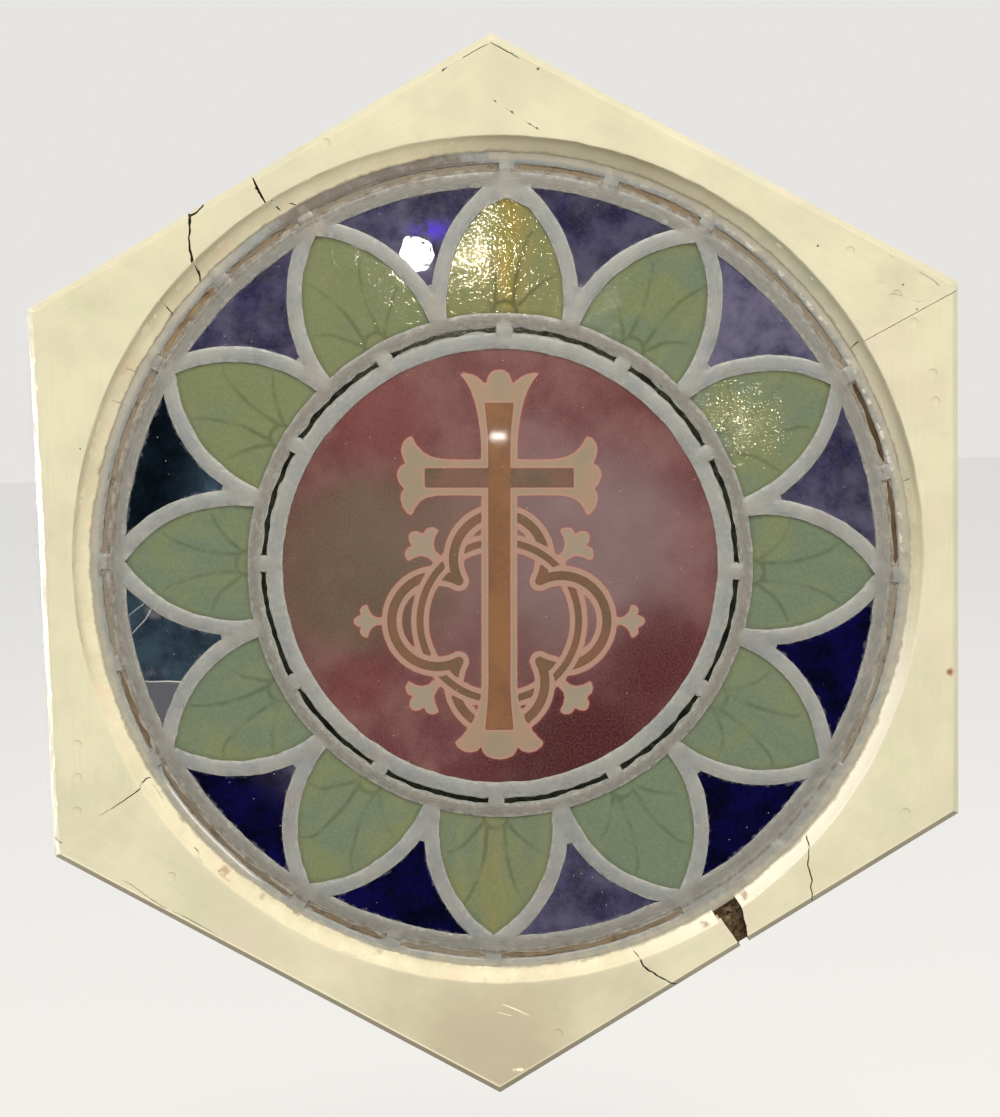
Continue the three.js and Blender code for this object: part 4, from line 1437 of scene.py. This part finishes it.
def dome(away, half):
    """The rounded face of a came, from the distance to its middle."""
    share = np.clip(abs(away) / half, 0, 1)
    return EDGE_RISE + (CROWN_RISE - EDGE_RISE) * np.sqrt(1 - share ** 2 * 0.97)


def lead_rise(flat, side):
    """Height of the lead above the glass, in millimetres, and where it is solder."""
    radius, angle = radius_of(flat), angle_of(flat)
    total = np.exp(BLEND * 0.62) * np.ones(len(flat))
    for middle, half in CAME_RINGS:
        away = radius - middle
        total += np.where(abs(away) < half, np.exp(BLEND * dome(away, half)), 0)
    for k in range(12):
        own = turned(flat, -(ROSE_TURN + k * STEP))
        for hand in (-1, 1):
            across = own[:, 0] * hand
            away = np.hypot(across + ARC_ACROSS, own[:, 1] - ARC_OUT) - PETAL_ARC - PETAL_CAME / 2
            on = (abs(away) < PETAL_CAME / 2) & (across > -1.0) & (own[:, 1] > 184) & (radius < 288)
            total += np.where(on, np.exp(BLEND * (dome(away, PETAL_CAME / 2) + 0.12)), 0)
    bars = [(ROSE_TURN + k * STEP, INNER_BAR / 2, 169.0, 181.0) for k in range(12)]
    bars += [(ROSE_TURN + bar_angle, BORDER_BAR / 2, 286.0, 299.0) for bar_angle in border_bars]
    for bar_angle, half, start, end in bars:
        away = np.radians((angle - bar_angle + 180) % 360 - 180) * radius
        on = (abs(away) < half) & (radius > start) & (radius < end)
        total += np.where(on, np.exp(BLEND * (dome(away, half) - 0.08)), 0)
    rise = np.log(total) / BLEND
    filled = (radius > 288) & (radius < 297) & (abs(angle - 137.5) < 15)
    rise = np.where(filled, np.maximum(rise, 1.12 + 0.16 * waves(flat, 14, 320 + side)), rise)
    solder = np.where(filled, 0.55, 0.0)
    for number, (at, out, wide, high) in enumerate(joints):
        away = radius_of(flat - polar(out, at))
        lumpy = away * (1 + 0.16 * waves(flat, 9, 330 + number + 90 * side))
        cap = np.clip(1 - (lumpy / wide) ** 2, 0, 1)
        height = CROWN_RISE - 0.55 + (high + 0.62) * np.sqrt(cap)
        rise = np.where(cap > 0, np.log(np.exp(9 * rise) + np.exp(9 * height)) / 9, rise)
        solder = np.maximum(solder, np.clip(1.35 * cap, 0, 1))
    rise += 0.05 * waves(flat, 15, 340 + side) + 0.02 * waves(flat, 5.5, 342 + side)
    return np.maximum(rise, 0.15), solder


lead_lines = [ring_line(radius, 2.2) for radius in (296.6, 297.3, 298.0, LEAD_RADIUS)] + openings
for middle, half in CAME_RINGS[1:3]:
    for edge in (middle - half, middle + half):
        lead_lines.append(ring_line(edge, 3.0))
stems = [turned(steps((0, 188.5), (0, 213), 1.6), ROSE_TURN + (k + 0.5) * STEP) for k in range(12)]
lead_plan, lead_faces, lead_rim = lay_out(lead_lines + stems, 1.95, on_lead, 300, margin=0.5)
front_rise, front_solder = lead_rise(lead_plan, 0)
back_rise, back_solder = lead_rise(lead_plan, 1)
lead_front = np.maximum(glass_front - front_rise * MM, lead_low.y - SOLDER_PROUD)
lead_back = np.minimum(glass_back + back_rise * MM * BACK_SHARE, lead_high.y - 0.00002)
points, faces = two_faced(hand_bent(lead_plan), lead_faces, lead_rim, lead_front, lead_back)

lead_finish, tree, shader, where = new_finish("old_lead_and_solder")
solder, rise = mark_of(tree, "solder"), mark_of(tree, "rise")
cloud = mottle(where, 24, 5.0, 0.62)
warm = mottle(shifted(where, 6.0, 2.0), 38, 3.0)
scratched = noise(stretched(mark_of(tree, "run", vector=True), (0.12, 1.0, 1.0)), 900.0, 4.0, 0.6)
oxide = effect(grime, Where=where, Patch=75.0, Cover=0.46, Edge=0.18)
stain = effect(grime, Where=shifted(where, 2.0, 5.0), Patch=42.0, Cover=0.36, Edge=0.16)
low_dirt = plus(rise, sway(mottle(where, 7, 4.0, 0.66), 0.9))
wear = effect(edge_wear, Where=where, Reach=0.03, Break=300.0)
caked = mottle(shifted(where, 9.0, 4.0), 9, 6.0, 0.68)
smear = ramp(plus(mark_of(tree, "smear"), sway(caked, 1.6)), 0.4, 0.75)
grimy = ramp(plus(mark_of(tree, "grimy"), sway(caked, 1.4)), 0.4, 0.9)
# Painted highlights on the outer ring: glinting flecks on its upper right and an unbroken gleam along its
# lower left.
flecks = mottle(shifted(where, 2.0, 6.0), 6, 4.0, 0.6)
painted_highlight = times(mark_of(tree, "painted_glint_flecks"), ramp(flecks, 0.5, 0.62, 0.0, 0.6))
painted_highlight = maths("MAXIMUM", painted_highlight, mark_of(tree, "painted_gleam_line"))
lead_tone = coats(
    lay_over(ramp(cloud, 0.34, 0.66), (142, 147, 149), (158, 160, 157)),
    (mark_of(tree, "sooty"), (128, 124, 116)),
    (ramp(warm, 0.5, 0.7, 0.0, 0.5), (154, 142, 136)),
    (solder, (158, 157, 150), 0.5),
    (ramp(scratched, 0.35, 0.7, 0.0, 0.3), (184, 184, 176)),
    (oxide["Mask"], (180, 178, 168), 0.3),
    (stain["Mask"], (106, 96, 84), 0.4),
    (ramp(low_dirt, 0.85, 0.4, 0.0, 0.45), (112, 108, 98)),
    (wear["Hollow"], (74, 70, 62), 0.7),
    (wear["Worn"], (196, 196, 190), 0.35),
    (smear, lay_over(caked, (158, 156, 143), (190, 187, 172)), 0.85),
    (grimy, (112, 98, 80), 0.7),
    (times(mark_of(tree, "limed"), ramp(caked, 0.25, 0.6, 0.35, 0.9)), (192, 184, 162)),
    (painted_highlight, (252, 250, 240)))
dented = mottle(where, 5.5, 2.0)
relief = plus(times(scratched, 0.3), times(dented, 0.7))
relief = plus(relief, times(smear, caked))
dull = minus(ramp(cloud, 0.3, 0.7, 0.48, 0.62), times(solder, 0.12))
feed(shader, lead_tone, dull, relief, depth=0.26, strength=0.8)
shader.inputs["Metallic"].default_value = 0.3

lead_radius, lead_angle = radius_of(lead_plan), angle_of(lead_plan)


def between(values, start, end, soft):
    """1 where a value is between two others, and less within a soft margin beyond them."""
    return np.clip(np.minimum(values - start, end - values) / soft + 1, 0, 1)


def ring_of(at, half):
    return np.clip(1.4 - abs(lead_radius - at) / half, 0, 1)


outer_ring = between(lead_radius, 296.6, 306, 1.2)
smeared = outer_ring * (0.55 * between(lead_angle, 85, 185, 8) + 0.5 * between(lead_angle, 30, 84, 8)
                        + 0.52 * between(lead_angle, 186, 258, 6) + 0.2 * between(lead_angle, 259, 325, 6))
smeared = np.maximum(smeared, 0.42 * between(lead_radius, 288, 297, 1) * between(lead_angle, 124, 151, 3))
grimed = between(lead_radius, 287.5, 290.5, 2.5) * 0.45 + 0.35 * between(lead_radius, 290, 296.5, 1)
grimed += outer_ring * (0.3 * between(lead_angle, 262, 325, 8) + 0.85 * between(lead_angle, 332, 354, 8))
grimed += (0.35 * between(lead_radius, 277, 287, 2)
           * (between(lead_angle, 270, 350, 12) + between(lead_angle, 196, 232, 6) * 0.5))
# Painted highlights along the outer ring, where it catches the light.
painted_glint_flecks = (np.exp(-((lead_radius - 297.9) / 1.3) ** 2)
           * (between(lead_angle, 40, 88, 4) + 0.4 * between(lead_angle, 18, 36, 3)))
limed = 0.75 * between(lead_radius, 299.0, 306.0, 1.2) * (1 - between(lead_angle, 325, 359, 8))
painted_gleam_line = np.exp(-((lead_radius - 297.3) / 0.55) ** 2) * between(lead_angle, 221, 237, 2.5)
run = np.stack([np.radians(lead_angle) * 0.29, lead_radius * MM, np.zeros(len(lead_plan))], -1)
for k in range(12):
    own = turned(lead_plan, -(ROSE_TURN + k * STEP))
    for hand in (-1, 1):
        across = own[:, 0] * hand
        away = np.hypot(across + ARC_ACROSS, own[:, 1] - ARC_OUT) - PETAL_ARC - PETAL_CAME / 2
        on = (abs(away) < PETAL_CAME / 2 + 0.5) & (across > -1) & (own[:, 1] > 186) & (lead_radius < 281)
        swing = np.arctan2(own[:, 1] - ARC_OUT, across + ARC_ACROSS)
        run[on] = np.stack([swing * 0.105 + k, away * MM, np.full(len(away), hand * 0.3)], -1)[on]
marks = {"solder": np.concatenate([front_solder, back_solder]),
         "rise": np.concatenate([front_rise, back_rise]),
         "sooty": np.tile(1.0 * ring_of(182.65, 4.6) + 0.8 * ring_of(284.1, 5), 2),
         "smear": np.tile(smeared, 2), "grimy": np.tile(grimed, 2), "run": np.tile(run, (2, 1)),
         "painted_glint_flecks": on_front(np.clip(painted_glint_flecks, 0, 1)), "painted_gleam_line": on_front(painted_gleam_line),
         "limed": on_front(limed)}
lead = make_piece("lead_cames", points, faces, lead_finish, marks, sharp=50.0)
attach(lead, "root")
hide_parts("lead_lattice")


# ==== The glazing cement ========================
# Whiting and linseed oil brushed under the lead's edges to stiffen the light and keep water out. It
# shows as a thin crust along the glass, pale and crumbly, and missing in places.

def crust(opening, number):
    """A low irregular wedge of cement round one opening: its points, faces, and where it is thick."""
    loop = opening[:-1] if np.allclose(opening[0], opening[-1]) else opening
    run = np.roll(loop, -1, 0) - np.roll(loop, 1, 0)
    run /= np.maximum(np.linalg.norm(run, axis=1), 1e-9)[:, None]
    inward = np.stack([-run[:, 1], run[:, 0]], -1)
    probe = loop[::7] + inward[::7] * 0.8
    if inside_line(probe, np.concatenate([loop, loop[:1]])).mean() < 0.5:
        inward = -inward
    out = radius_of(loop)
    width = 0.3 + 0.36 * waves(loop, 23, 400 + number) + 0.28 * waves(loop, 6, 440 + number)
    in_border, in_inner = out.min() > 286, (out.min() > 170) & (out.max() < 180)
    if in_border:
        foot = between(out, BORDER_STRIP[0] - 1, BORDER_STRIP[0] + 0.4, 1.0)
        width = 0.7 + foot * (1.9 + 1.0 * waves(loop, 17, 480 + number))
        width += 0.5 * waves(loop, 5, 520 + number)
        turn = (angle_of(loop) - angle_of(loop[:1]) + 180) % 360 - 180
        from_end = np.radians(np.minimum(turn - turn.min(), turn.max() - turn)) * 292
        width += np.clip(1 - from_end / 8, 0, 1) * (1.5 + 1.2 * waves(loop, 8, 560 + number))
    elif in_inner:
        width = 1.0 + 0.75 * waves(loop, 14, 480 + number) + 0.45 * waves(loop, 5, 520 + number)
    width = np.clip(width, 0.05, 4.0 if in_border else 2.3)
    width = (np.roll(width, 1) + width * 2 + np.roll(width, -1)) / 4
    bent = hand_bent(loop)
    wide = width[:, None]
    # Its section: how far it reaches over the glass, and how far it stands off it, in millimetres.
    section = [(wide, 0.02), (wide * 0.72, 0.16), (0.02, 0.28), (-1.2, 0.28), (-1.2, -0.6),
               (wide * 0.8, -0.6)]
    sheets = [in_place(bent + inward * reach, np.full(len(loop), glass_front - stand * MM))
              for reach, stand in section]
    count, points, quads = len(loop), np.concatenate(sheets), []
    for layer in range(len(sheets)):
        top, low = layer * count, ((layer + 1) % len(sheets)) * count
        quads += [(top + i, top + (i + 1) % count, low + (i + 1) % count, low + i) for i in range(count)]
    return points, quads, 1.0 if in_border else 0.5 if in_inner else 0.0


cement_points, cement_faces, cement_kind, first = [], [], [], 0
for number, opening in enumerate(openings):
    crust_points, crust_faces, kind = crust(opening, number)
    cement_points.append(crust_points)
    cement_faces += [tuple(i + first for i in face) for face in crust_faces]
    cement_kind.append(np.full(len(crust_points), kind))
    first += len(crust_points)

cement_finish, tree, shader, where = new_finish("glazing_cement")
kind = mark_of(tree, "kind")
cloud = mottle(where, 9, 5.0, 0.7)
grey_crust = lay_over(ramp(cloud, 0.36, 0.64), (158, 160, 152), (134, 134, 124))
brown_crust = lay_over(ramp(cloud, 0.36, 0.64), (152, 147, 136), (122, 112, 98))
stain = effect(grime, Where=where, Patch=60.0, Cover=0.42, Edge=0.14)
cement_tone = coats(
    lay_over(ramp(cloud, 0.36, 0.64), (176, 175, 164), (132, 131, 120)),
    (ramp(kind, 0.2, 0.45), grey_crust),
    (ramp(kind, 0.6, 0.9), brown_crust),
    (stain["Mask"], (74, 68, 56), 0.6))
feed(shader, cement_tone, ramp(cloud, 0.3, 0.7, 0.7, 0.9), mottle(where, 0.9, 3.0, 0.7), depth=0.25)
cement = make_piece("glazing_cement", np.concatenate(cement_points), cement_faces, cement_finish,
                    {"kind": np.concatenate(cement_kind)})
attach(cement, "root")


# ==== The putty fillet ==========================
# Linseed putty run round by hand to hold the light in its rebate, from the facing's arris down onto
# the lead, and painted in with the frame. It has shrunk, cracked across, chipped and lost one piece.

putty_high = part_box("putty_fillet")[1]
PUTTY_START, PUTTY_END = 149.9, 146.1 + 360
LAP_FACE, LAP_BACK = 0.0009, 0.0012  # how far behind the lead's front it laps it, in metres
# Where the putty's edge lies on the lead: angle and radius.
LAP_EDGE = [(0, 303.7), (40, 303.4), (60, 302.4), (90, 303.0), (135, 302.7), (170, 302.2), (190, 300.9),
            (215, 300.7), (228, 302.6), (260, 302.9), (300, 303.0), (340, 303.1), (360, 303.7)]
# Cracks that cross the putty, as angle and radius, with their widths, depth and gaps.
PUTTY_SPLITS = [
    ([(317.1, 318), (316.5, 313), (315.7, 306.5), (315.3, 303.2)], [1.6, 1.5, 1.2, 0.8], 3.0, 0),
    ([(329.9, 317.5), (329.7, 312), (330.1, 306.3)], [1.3, 1.1, 0.7], 2.4, 0),
    ([(331.5, 307.5), (331.9, 306.2), (332.3, 303.8)], [0.3, 0.8, 0.4], 1.5, 0),
    ([(59.5, 315.5), (59.1, 311), (59.3, 306), (59.5, 303)], [0.6, 0.8, 0.6, 0.3], 1.6, 0),
    ([(79.1, 309.8), (79.35, 306), (79.3, 303.2)], [0.3, 0.5, 0.4], 0.8, 0),
    ([(134.3, 314), (133.4, 309.5), (132.7, 304.6)], [0.8, 0.8, 0.5], 1.8, 0),
    ([(161.9, 313.5), (162.0, 309), (162.4, 305)], [0.8, 0.6, 0.3], 1.6, 0),
    ([(240.2, 317), (239.9, 315), (240.5, 311), (240.75, 307.5), (240.5, 304.3)],
     [0.9, 0.9, 0.8, 0.7, 0.4], 2.0, 0),
    ([(309.85, 316), (309.6, 308), (309.2, 303)], [0.7, 0.7, 0.8], 1.6, 0),
    ([(294.9, 311), (295.1, 303.6)], [0.4, 0.5], 0.5, 0.2),
    ([(299.7, 311.5), (299.9, 303.6)], [0.6, 0.6], 0.4, 0.2),
    ([(276.7, 315.6), (277.3, 313.8), (279.5, 312.8), (281.3, 312.2)], [0.5, 0.5, 0.4, 0.2], 0.8, 0),
    ([(222.2, 310.0), (223.3, 310.4), (224.5, 309.6)], [0.4, 0.7, 0.6], 1.0, 0),
    ([(227.8, 310.2), (229.2, 309.6)], [0.5, 0.5], 0.8, 0),
    ([(236.9, 306.2), (238.2, 305.6), (239.6, 306.3)], [0.3, 0.4, 0.3], 0.6, 0),
    ([(260.4, 313.2), (264.5, 313.9), (269.6, 313.4)], [0.3, 0.3, 0.2], 0.3, 0.2)]
# Painted shade on the cove, by angle: mostly on its upper half, where it faces down.
PAINTED_COVE_SHADE = [(0, 0.4), (20, 0.55), (40, 0.14), (60, 0.14), (80, 0.22), (96, 0.0), (262, 0.0), (280, 0.15),
         (300, 0.2), (320, 0.28), (340, 0.0), (352, 0.1), (360, 0.4)]
# Chips: angle, radius, reach along and across in millimetres, and depth.
CHIPS = [(227.2, 313.2, 3.2, 1.0, 1.2), (223.7, 306.8, 3.4, 2.6, 0.7), (203.0, 311.9, 5.5, 0.9, 0.6),
         (217.3, 305.6, 2.2, 1.5, 0.4), (198.9, 304.8, 2.5, 1.5, 0.35), (255.3, 306.3, 0.8, 0.7, 0.9),
         (183.5, 310.4, 2.5, 0.6, 0.4), (335.4, 314.6, 1.6, 0.5, 0.5), (151.6, 309.0, 2.0, 1.6, 0.8),
         (144.9, 307.0, 1.6, 2.4, 0.9), (169.5, 303.6, 2.6, 0.9, 0.5), (212.0, 302.4, 2.6, 1.0, 0.6),
         (233.0, 303.8, 2.2, 0.8, 0.6), (285.0, 303.9, 3.0, 0.9, 0.6), (8.0, 304.3, 3.0, 0.8, 0.4)]


def lap_radius(flat):
    at = from_table(angle_of(flat), LAP_EDGE)
    return at + 0.5 * waves(flat, 30, 501) + 0.3 * waves(flat, 7, 502)


def putty_bounds(turn):
    circle_flat = polar(307.0, turn)
    return lap_radius(circle_flat), arris_radius(circle_flat) + 0.45


def on_putty(flat):
    angle = angle_of(flat)
    inner, outer = putty_bounds(angle)
    radius = radius_of(flat)
    return (radius > inner) & (radius < outer) & ((angle > PUTTY_START) | (angle < PUTTY_END - 360))


turn = np.linspace(PUTTY_START, PUTTY_END, 1500)
inner, outer = putty_bounds(turn)
ends = [steps(polar(outer[-1], turn[-1]), polar(inner[-1], turn[-1]), 1.2)[1:-1],
        steps(polar(inner[0], turn[0]), polar(outer[0], turn[0]), 1.2)[1:]]
putty_outline = np.concatenate([polar(outer, turn), ends[0], polar(inner, turn)[::-1], ends[1]])
putty_courses = [split_course([polar(r, a) for a, r in points], widths, depth, gaps, 540 + i)
                 for i, (points, widths, depth, gaps) in enumerate(PUTTY_SPLITS)]
shelf_lines = [polar(inner * (1 - share) + outer * share, turn)[::2] for share in (0.06, 0.13, 0.82, 0.92)]
putty_lines = [line for course in putty_courses for line in split_lines(course)]
putty_lines = [line[on_putty(line)] for line in putty_lines]
putty_plan, putty_faces, putty_rim = lay_out(
    [putty_outline] + shelf_lines + [line for line in putty_lines if len(line) > 2], 1.7, on_putty, 520)
splits, cracked = open_splits(putty_plan, putty_courses, [split[2] for split in PUTTY_SPLITS])
ledge = between(angle_of(putty_plan), 79, 112, 3)
below_crest = np.clip((306.8 + 0.6 * waves(putty_plan, 14, 510) - radius_of(putty_plan)) / 0.8 + 0.5, 0, 1)
chipped = np.zeros(len(putty_plan))
for at, out, long, wide, deep in CHIPS:
    along = np.radians((angle_of(putty_plan) - at + 180) % 360 - 180) * 307
    away = np.hypot(along / long, (radius_of(putty_plan) - out) / wide)
    away *= 1 + 0.35 * waves(putty_plan, 3.5, int(at))
    chipped = np.maximum(chipped, np.clip((1.2 - away) * 3, 0, 1) * deep)
inner, outer = putty_bounds(angle_of(putty_plan))
from_lap = radius_of(putty_plan) - inner
lumps = 0.2 * waves(putty_plan, 40, 503) + 0.14 * waves(putty_plan, 12, 504)
lumps += 0.09 * waves(putty_plan, 4.5, 505)
lumps *= np.clip((outer - radius_of(putty_plan)) / 4, 0, 1)
fall = 0.12 + cove_depth(putty_plan) + lumps + 0.8 * ledge * below_crest
fall += 1.15 * np.clip(1 - from_lap / 1.4, 0, 1) ** 1.6
fall = fall + splits + chipped
fall += planed_swell(putty_plan)
putty_front = np.minimum(facing_low.y + fall * MM, lead_low.y + LAP_FACE)
putty_back = np.where(radius_of(putty_plan) < LEAD_RADIUS + 0.5, lead_low.y + LAP_BACK,
                      putty_high.y - 0.0001)
points, faces = two_faced(putty_plan, putty_faces, putty_rim, putty_front, putty_back)
angle = angle_of(putty_plan)
greyed = between(angle, 42, 76, 4) + 0.4 * between(angle, 2, 41, 4) + ledge * (0.15 + 0.85 * below_crest)
painted_cove_shade = from_table(angle, PAINTED_COVE_SHADE)
# Painted shade in a band just below the arris on the upper half, where the cove's steep top faces down.
shadowed = np.clip(1 - (outer - radius_of(putty_plan)) / 4.5, 0, 1)
shadowed *= between(angle, 262, 361, 8) + between(angle, -1, 78, 10)
painted_cove_shade = np.clip(painted_cove_shade + 0.45 * shadowed, 0, 1)
marks = {"chip": np.tile(np.clip(chipped / 0.6, 0, 1), 2), "crack": np.tile(cracked, 2),
         "from_lap": np.tile(from_lap, 2),
         "greyed": np.tile(np.clip(greyed, 0, 1), 2),
         "chalky": np.tile(0.85 * between(angle, 108, 150, 14), 2),
         "painted_cove_shade": np.tile(painted_cove_shade, 2)}

putty_finish, tree, shader, where = new_finish("painted_putty")
cloud = mottle(where, 40, 5.0, 0.62)
blush = mottle(shifted(where, 5.0, 2.0), 24, 4.0)
grey_share = times(mark_of(tree, "greyed"), ramp(blush, 0.25, 0.6, 0.85, 0.5))
ragged = sway(mottle(where, 8, 5.0, 0.7), 5.0)
rough_edge = plus(mark_of(tree, "from_lap"), ragged)
flake = effect(grime, Where=where, Patch=60.0, Cover=0.38, Edge=0.12)
putty_tone = coats(
    lay_over(ramp(cloud, 0.34, 0.66), (226, 219, 188), (212, 204, 172)),
    (ramp(blush, 0.5, 0.7, 0.0, 0.5), (230, 206, 176)),
    (grey_share, (182, 184, 166)),
    (mark_of(tree, "chalky"), (240, 236, 219)),
    (ramp(rough_edge, 1.9, 0.3, 0.0, 0.8), (160, 154, 136)),
    (flake["Mask"], (186, 172, 138), 0.3),
    (flake["Speckle"], (150, 136, 106), 0.15),
    # Painted shade on the cove.
    (mark_of(tree, "painted_cove_shade"), (138, 131, 106)),
    (mark_of(tree, "chip"), lay_over(blush, (124, 92, 60), (184, 160, 128)), 0.75),
    (ramp(mark_of(tree, "crack"), 0.0, 1.0, 0.0, 0.95), (60, 48, 30)))
relief = plus(times(mottle(where, 2.0, 4.0, 0.65), 0.5), times(mottle(where, 9, 3.0), 0.7))
feed(shader, putty_tone, ramp(cloud, 0.3, 0.7, 0.5, 0.75), relief, depth=0.3, strength=0.8)
putty = make_piece("putty_run", points, faces, putty_finish, marks, sharp=60.0)
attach(putty, "root")
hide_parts("putty_fillet")

# ==== The floor, the lights and the camera ======
# A plain pale floor below the hung window, one large soft lamp above on the left, a pale surround,
# a narrow side beam, and six small lamps whose glints show in the glass.

FLOOR_LEVEL = -1.15
floor_mesh = bpy.data.meshes.new("studio_floor")
floor_mesh.from_pydata([(-30, -12, FLOOR_LEVEL), (30, -12, FLOOR_LEVEL), (30, 60, FLOOR_LEVEL),
                        (-30, 60, FLOOR_LEVEL)], [], [(0, 1, 2, 3)])
floor_finish, tree, shader, where = new_finish("pale_floor")
seen = put(tree, "LightPath").outputs["Is Camera Ray"]
pale = lay_over(mottle(where, 900), (247, 246, 244), (243, 242, 240))
feed(shader, lay_over(seen, pale, (148, 147, 145)))
shader.inputs["Emission Color"].default_value = (1.0, 0.985, 0.96, 1.0)
tree.links.new(times(seen, 0.6), shader.inputs["Emission Strength"])
shader.inputs["Roughness"].default_value = 0.9
floor_mesh.materials.append(floor_finish)
floor = placed("studio_floor", floor_mesh)
floor.visible_glossy = False

surround = bpy.data.worlds.new("pale_surround")
surround.use_nodes = True
tree = surround.node_tree
background = tree.nodes["Background"]
background.inputs["Color"].default_value = (1.0, 0.985, 0.96, 1.0)
rays = put(tree, "LightPath").outputs
level = plus(plus(0.435, times(rays["Is Camera Ray"], 0.355)), times(rays["Is Glossy Ray"], -0.305))
tree.links.new(level, background.inputs["Strength"])
bpy.context.scene.world = surround
bpy.context.scene.view_settings.view_transform = "Standard"

camera_data = bpy.data.cameras.new("camera")
camera_data.sensor_width = 36.0
camera_data.lens = 51.57
camera = placed("camera", camera_data)
ROLL = math.radians(1.53)
forward = Vector((-0.00186, 0.99756, -0.06973)).normalized()
right = forward.cross(Vector((math.sin(ROLL), 0, math.cos(ROLL)))).normalized()
upward = right.cross(forward)
axes = Matrix((right, upward, -forward)).transposed().to_4x4()
camera.matrix_world = Matrix.Translation((0.0023, -1.2178, -0.2565)) @ axes
bpy.context.scene.camera = camera


def lamp(name, place, target, width, height, power, tint=(1.0, 0.96, 0.9)):
    """A soft rectangular lamp turned towards a point."""
    data = bpy.data.lights.new(name, "AREA")
    data.shape, data.size, data.size_y = "RECTANGLE", width, height
    data.energy, data.color = power, tint
    made = placed(name, data)
    place = Vector(place)
    aim = (Vector(target) - place).to_track_quat("-Z", "Y")
    made.matrix_world = Matrix.Translation(place) @ aim.to_matrix().to_4x4()
    return made


TOWARDS_KEY = Vector((0.08, -0.52, 0.85)).normalized()
lamp("key_lamp", rose_centre + TOWARDS_KEY * 8.0, rose_centre, 3.2, 3.2, 585.0)
# A narrow beam from the left catches only the left edge of the frame.
side = lamp("side_lamp", (-4.2, 0.5, rose_centre.z), (-0.34, -0.04, rose_centre.z), 0.12, 0.36, 0.35)
side.data.spread = math.radians(3.0)

# Each glint lamp stands where the glass mirrors it to the eye at one place on the rose.
# Place on the rose, width, height, glare and tint.
GLINTS = [(-55.0, 232.2, 0.026, 0.026, 380.0, (1.0, 0.94, 0.82)),
          (178.0, 104.0, 0.018, 0.012, 260.0, (1.0, 0.88, 0.6)),
          (2.5, 95.4, 0.022, 0.009, 70.0, (1.0, 0.96, 0.9)),
          (-12.0, 231.0, 0.02, 0.022, 560.0, (1.0, 0.82, 0.46)),
          (-16.0, 238.0, 0.04, 0.038, 110.0, (1.0, 0.92, 0.7)),
          (70.0, 196.0, 0.012, 0.012, 200.0, (1.0, 0.95, 0.8))]
GLINT_THROW = 1.5
for i, (x, z, width, height, glare, tint) in enumerate(GLINTS):
    mirror = Vector((x * MM, glass_front, z * MM + rose_centre.z))
    sight = (mirror - camera.location).normalized()
    bounce = Vector((sight.x, -sight.y, sight.z))
    lamp(f"glint_lamp_{i + 1}", mirror + bounce * GLINT_THROW, mirror, width, height,
         glare * math.pi * width * height, tint)
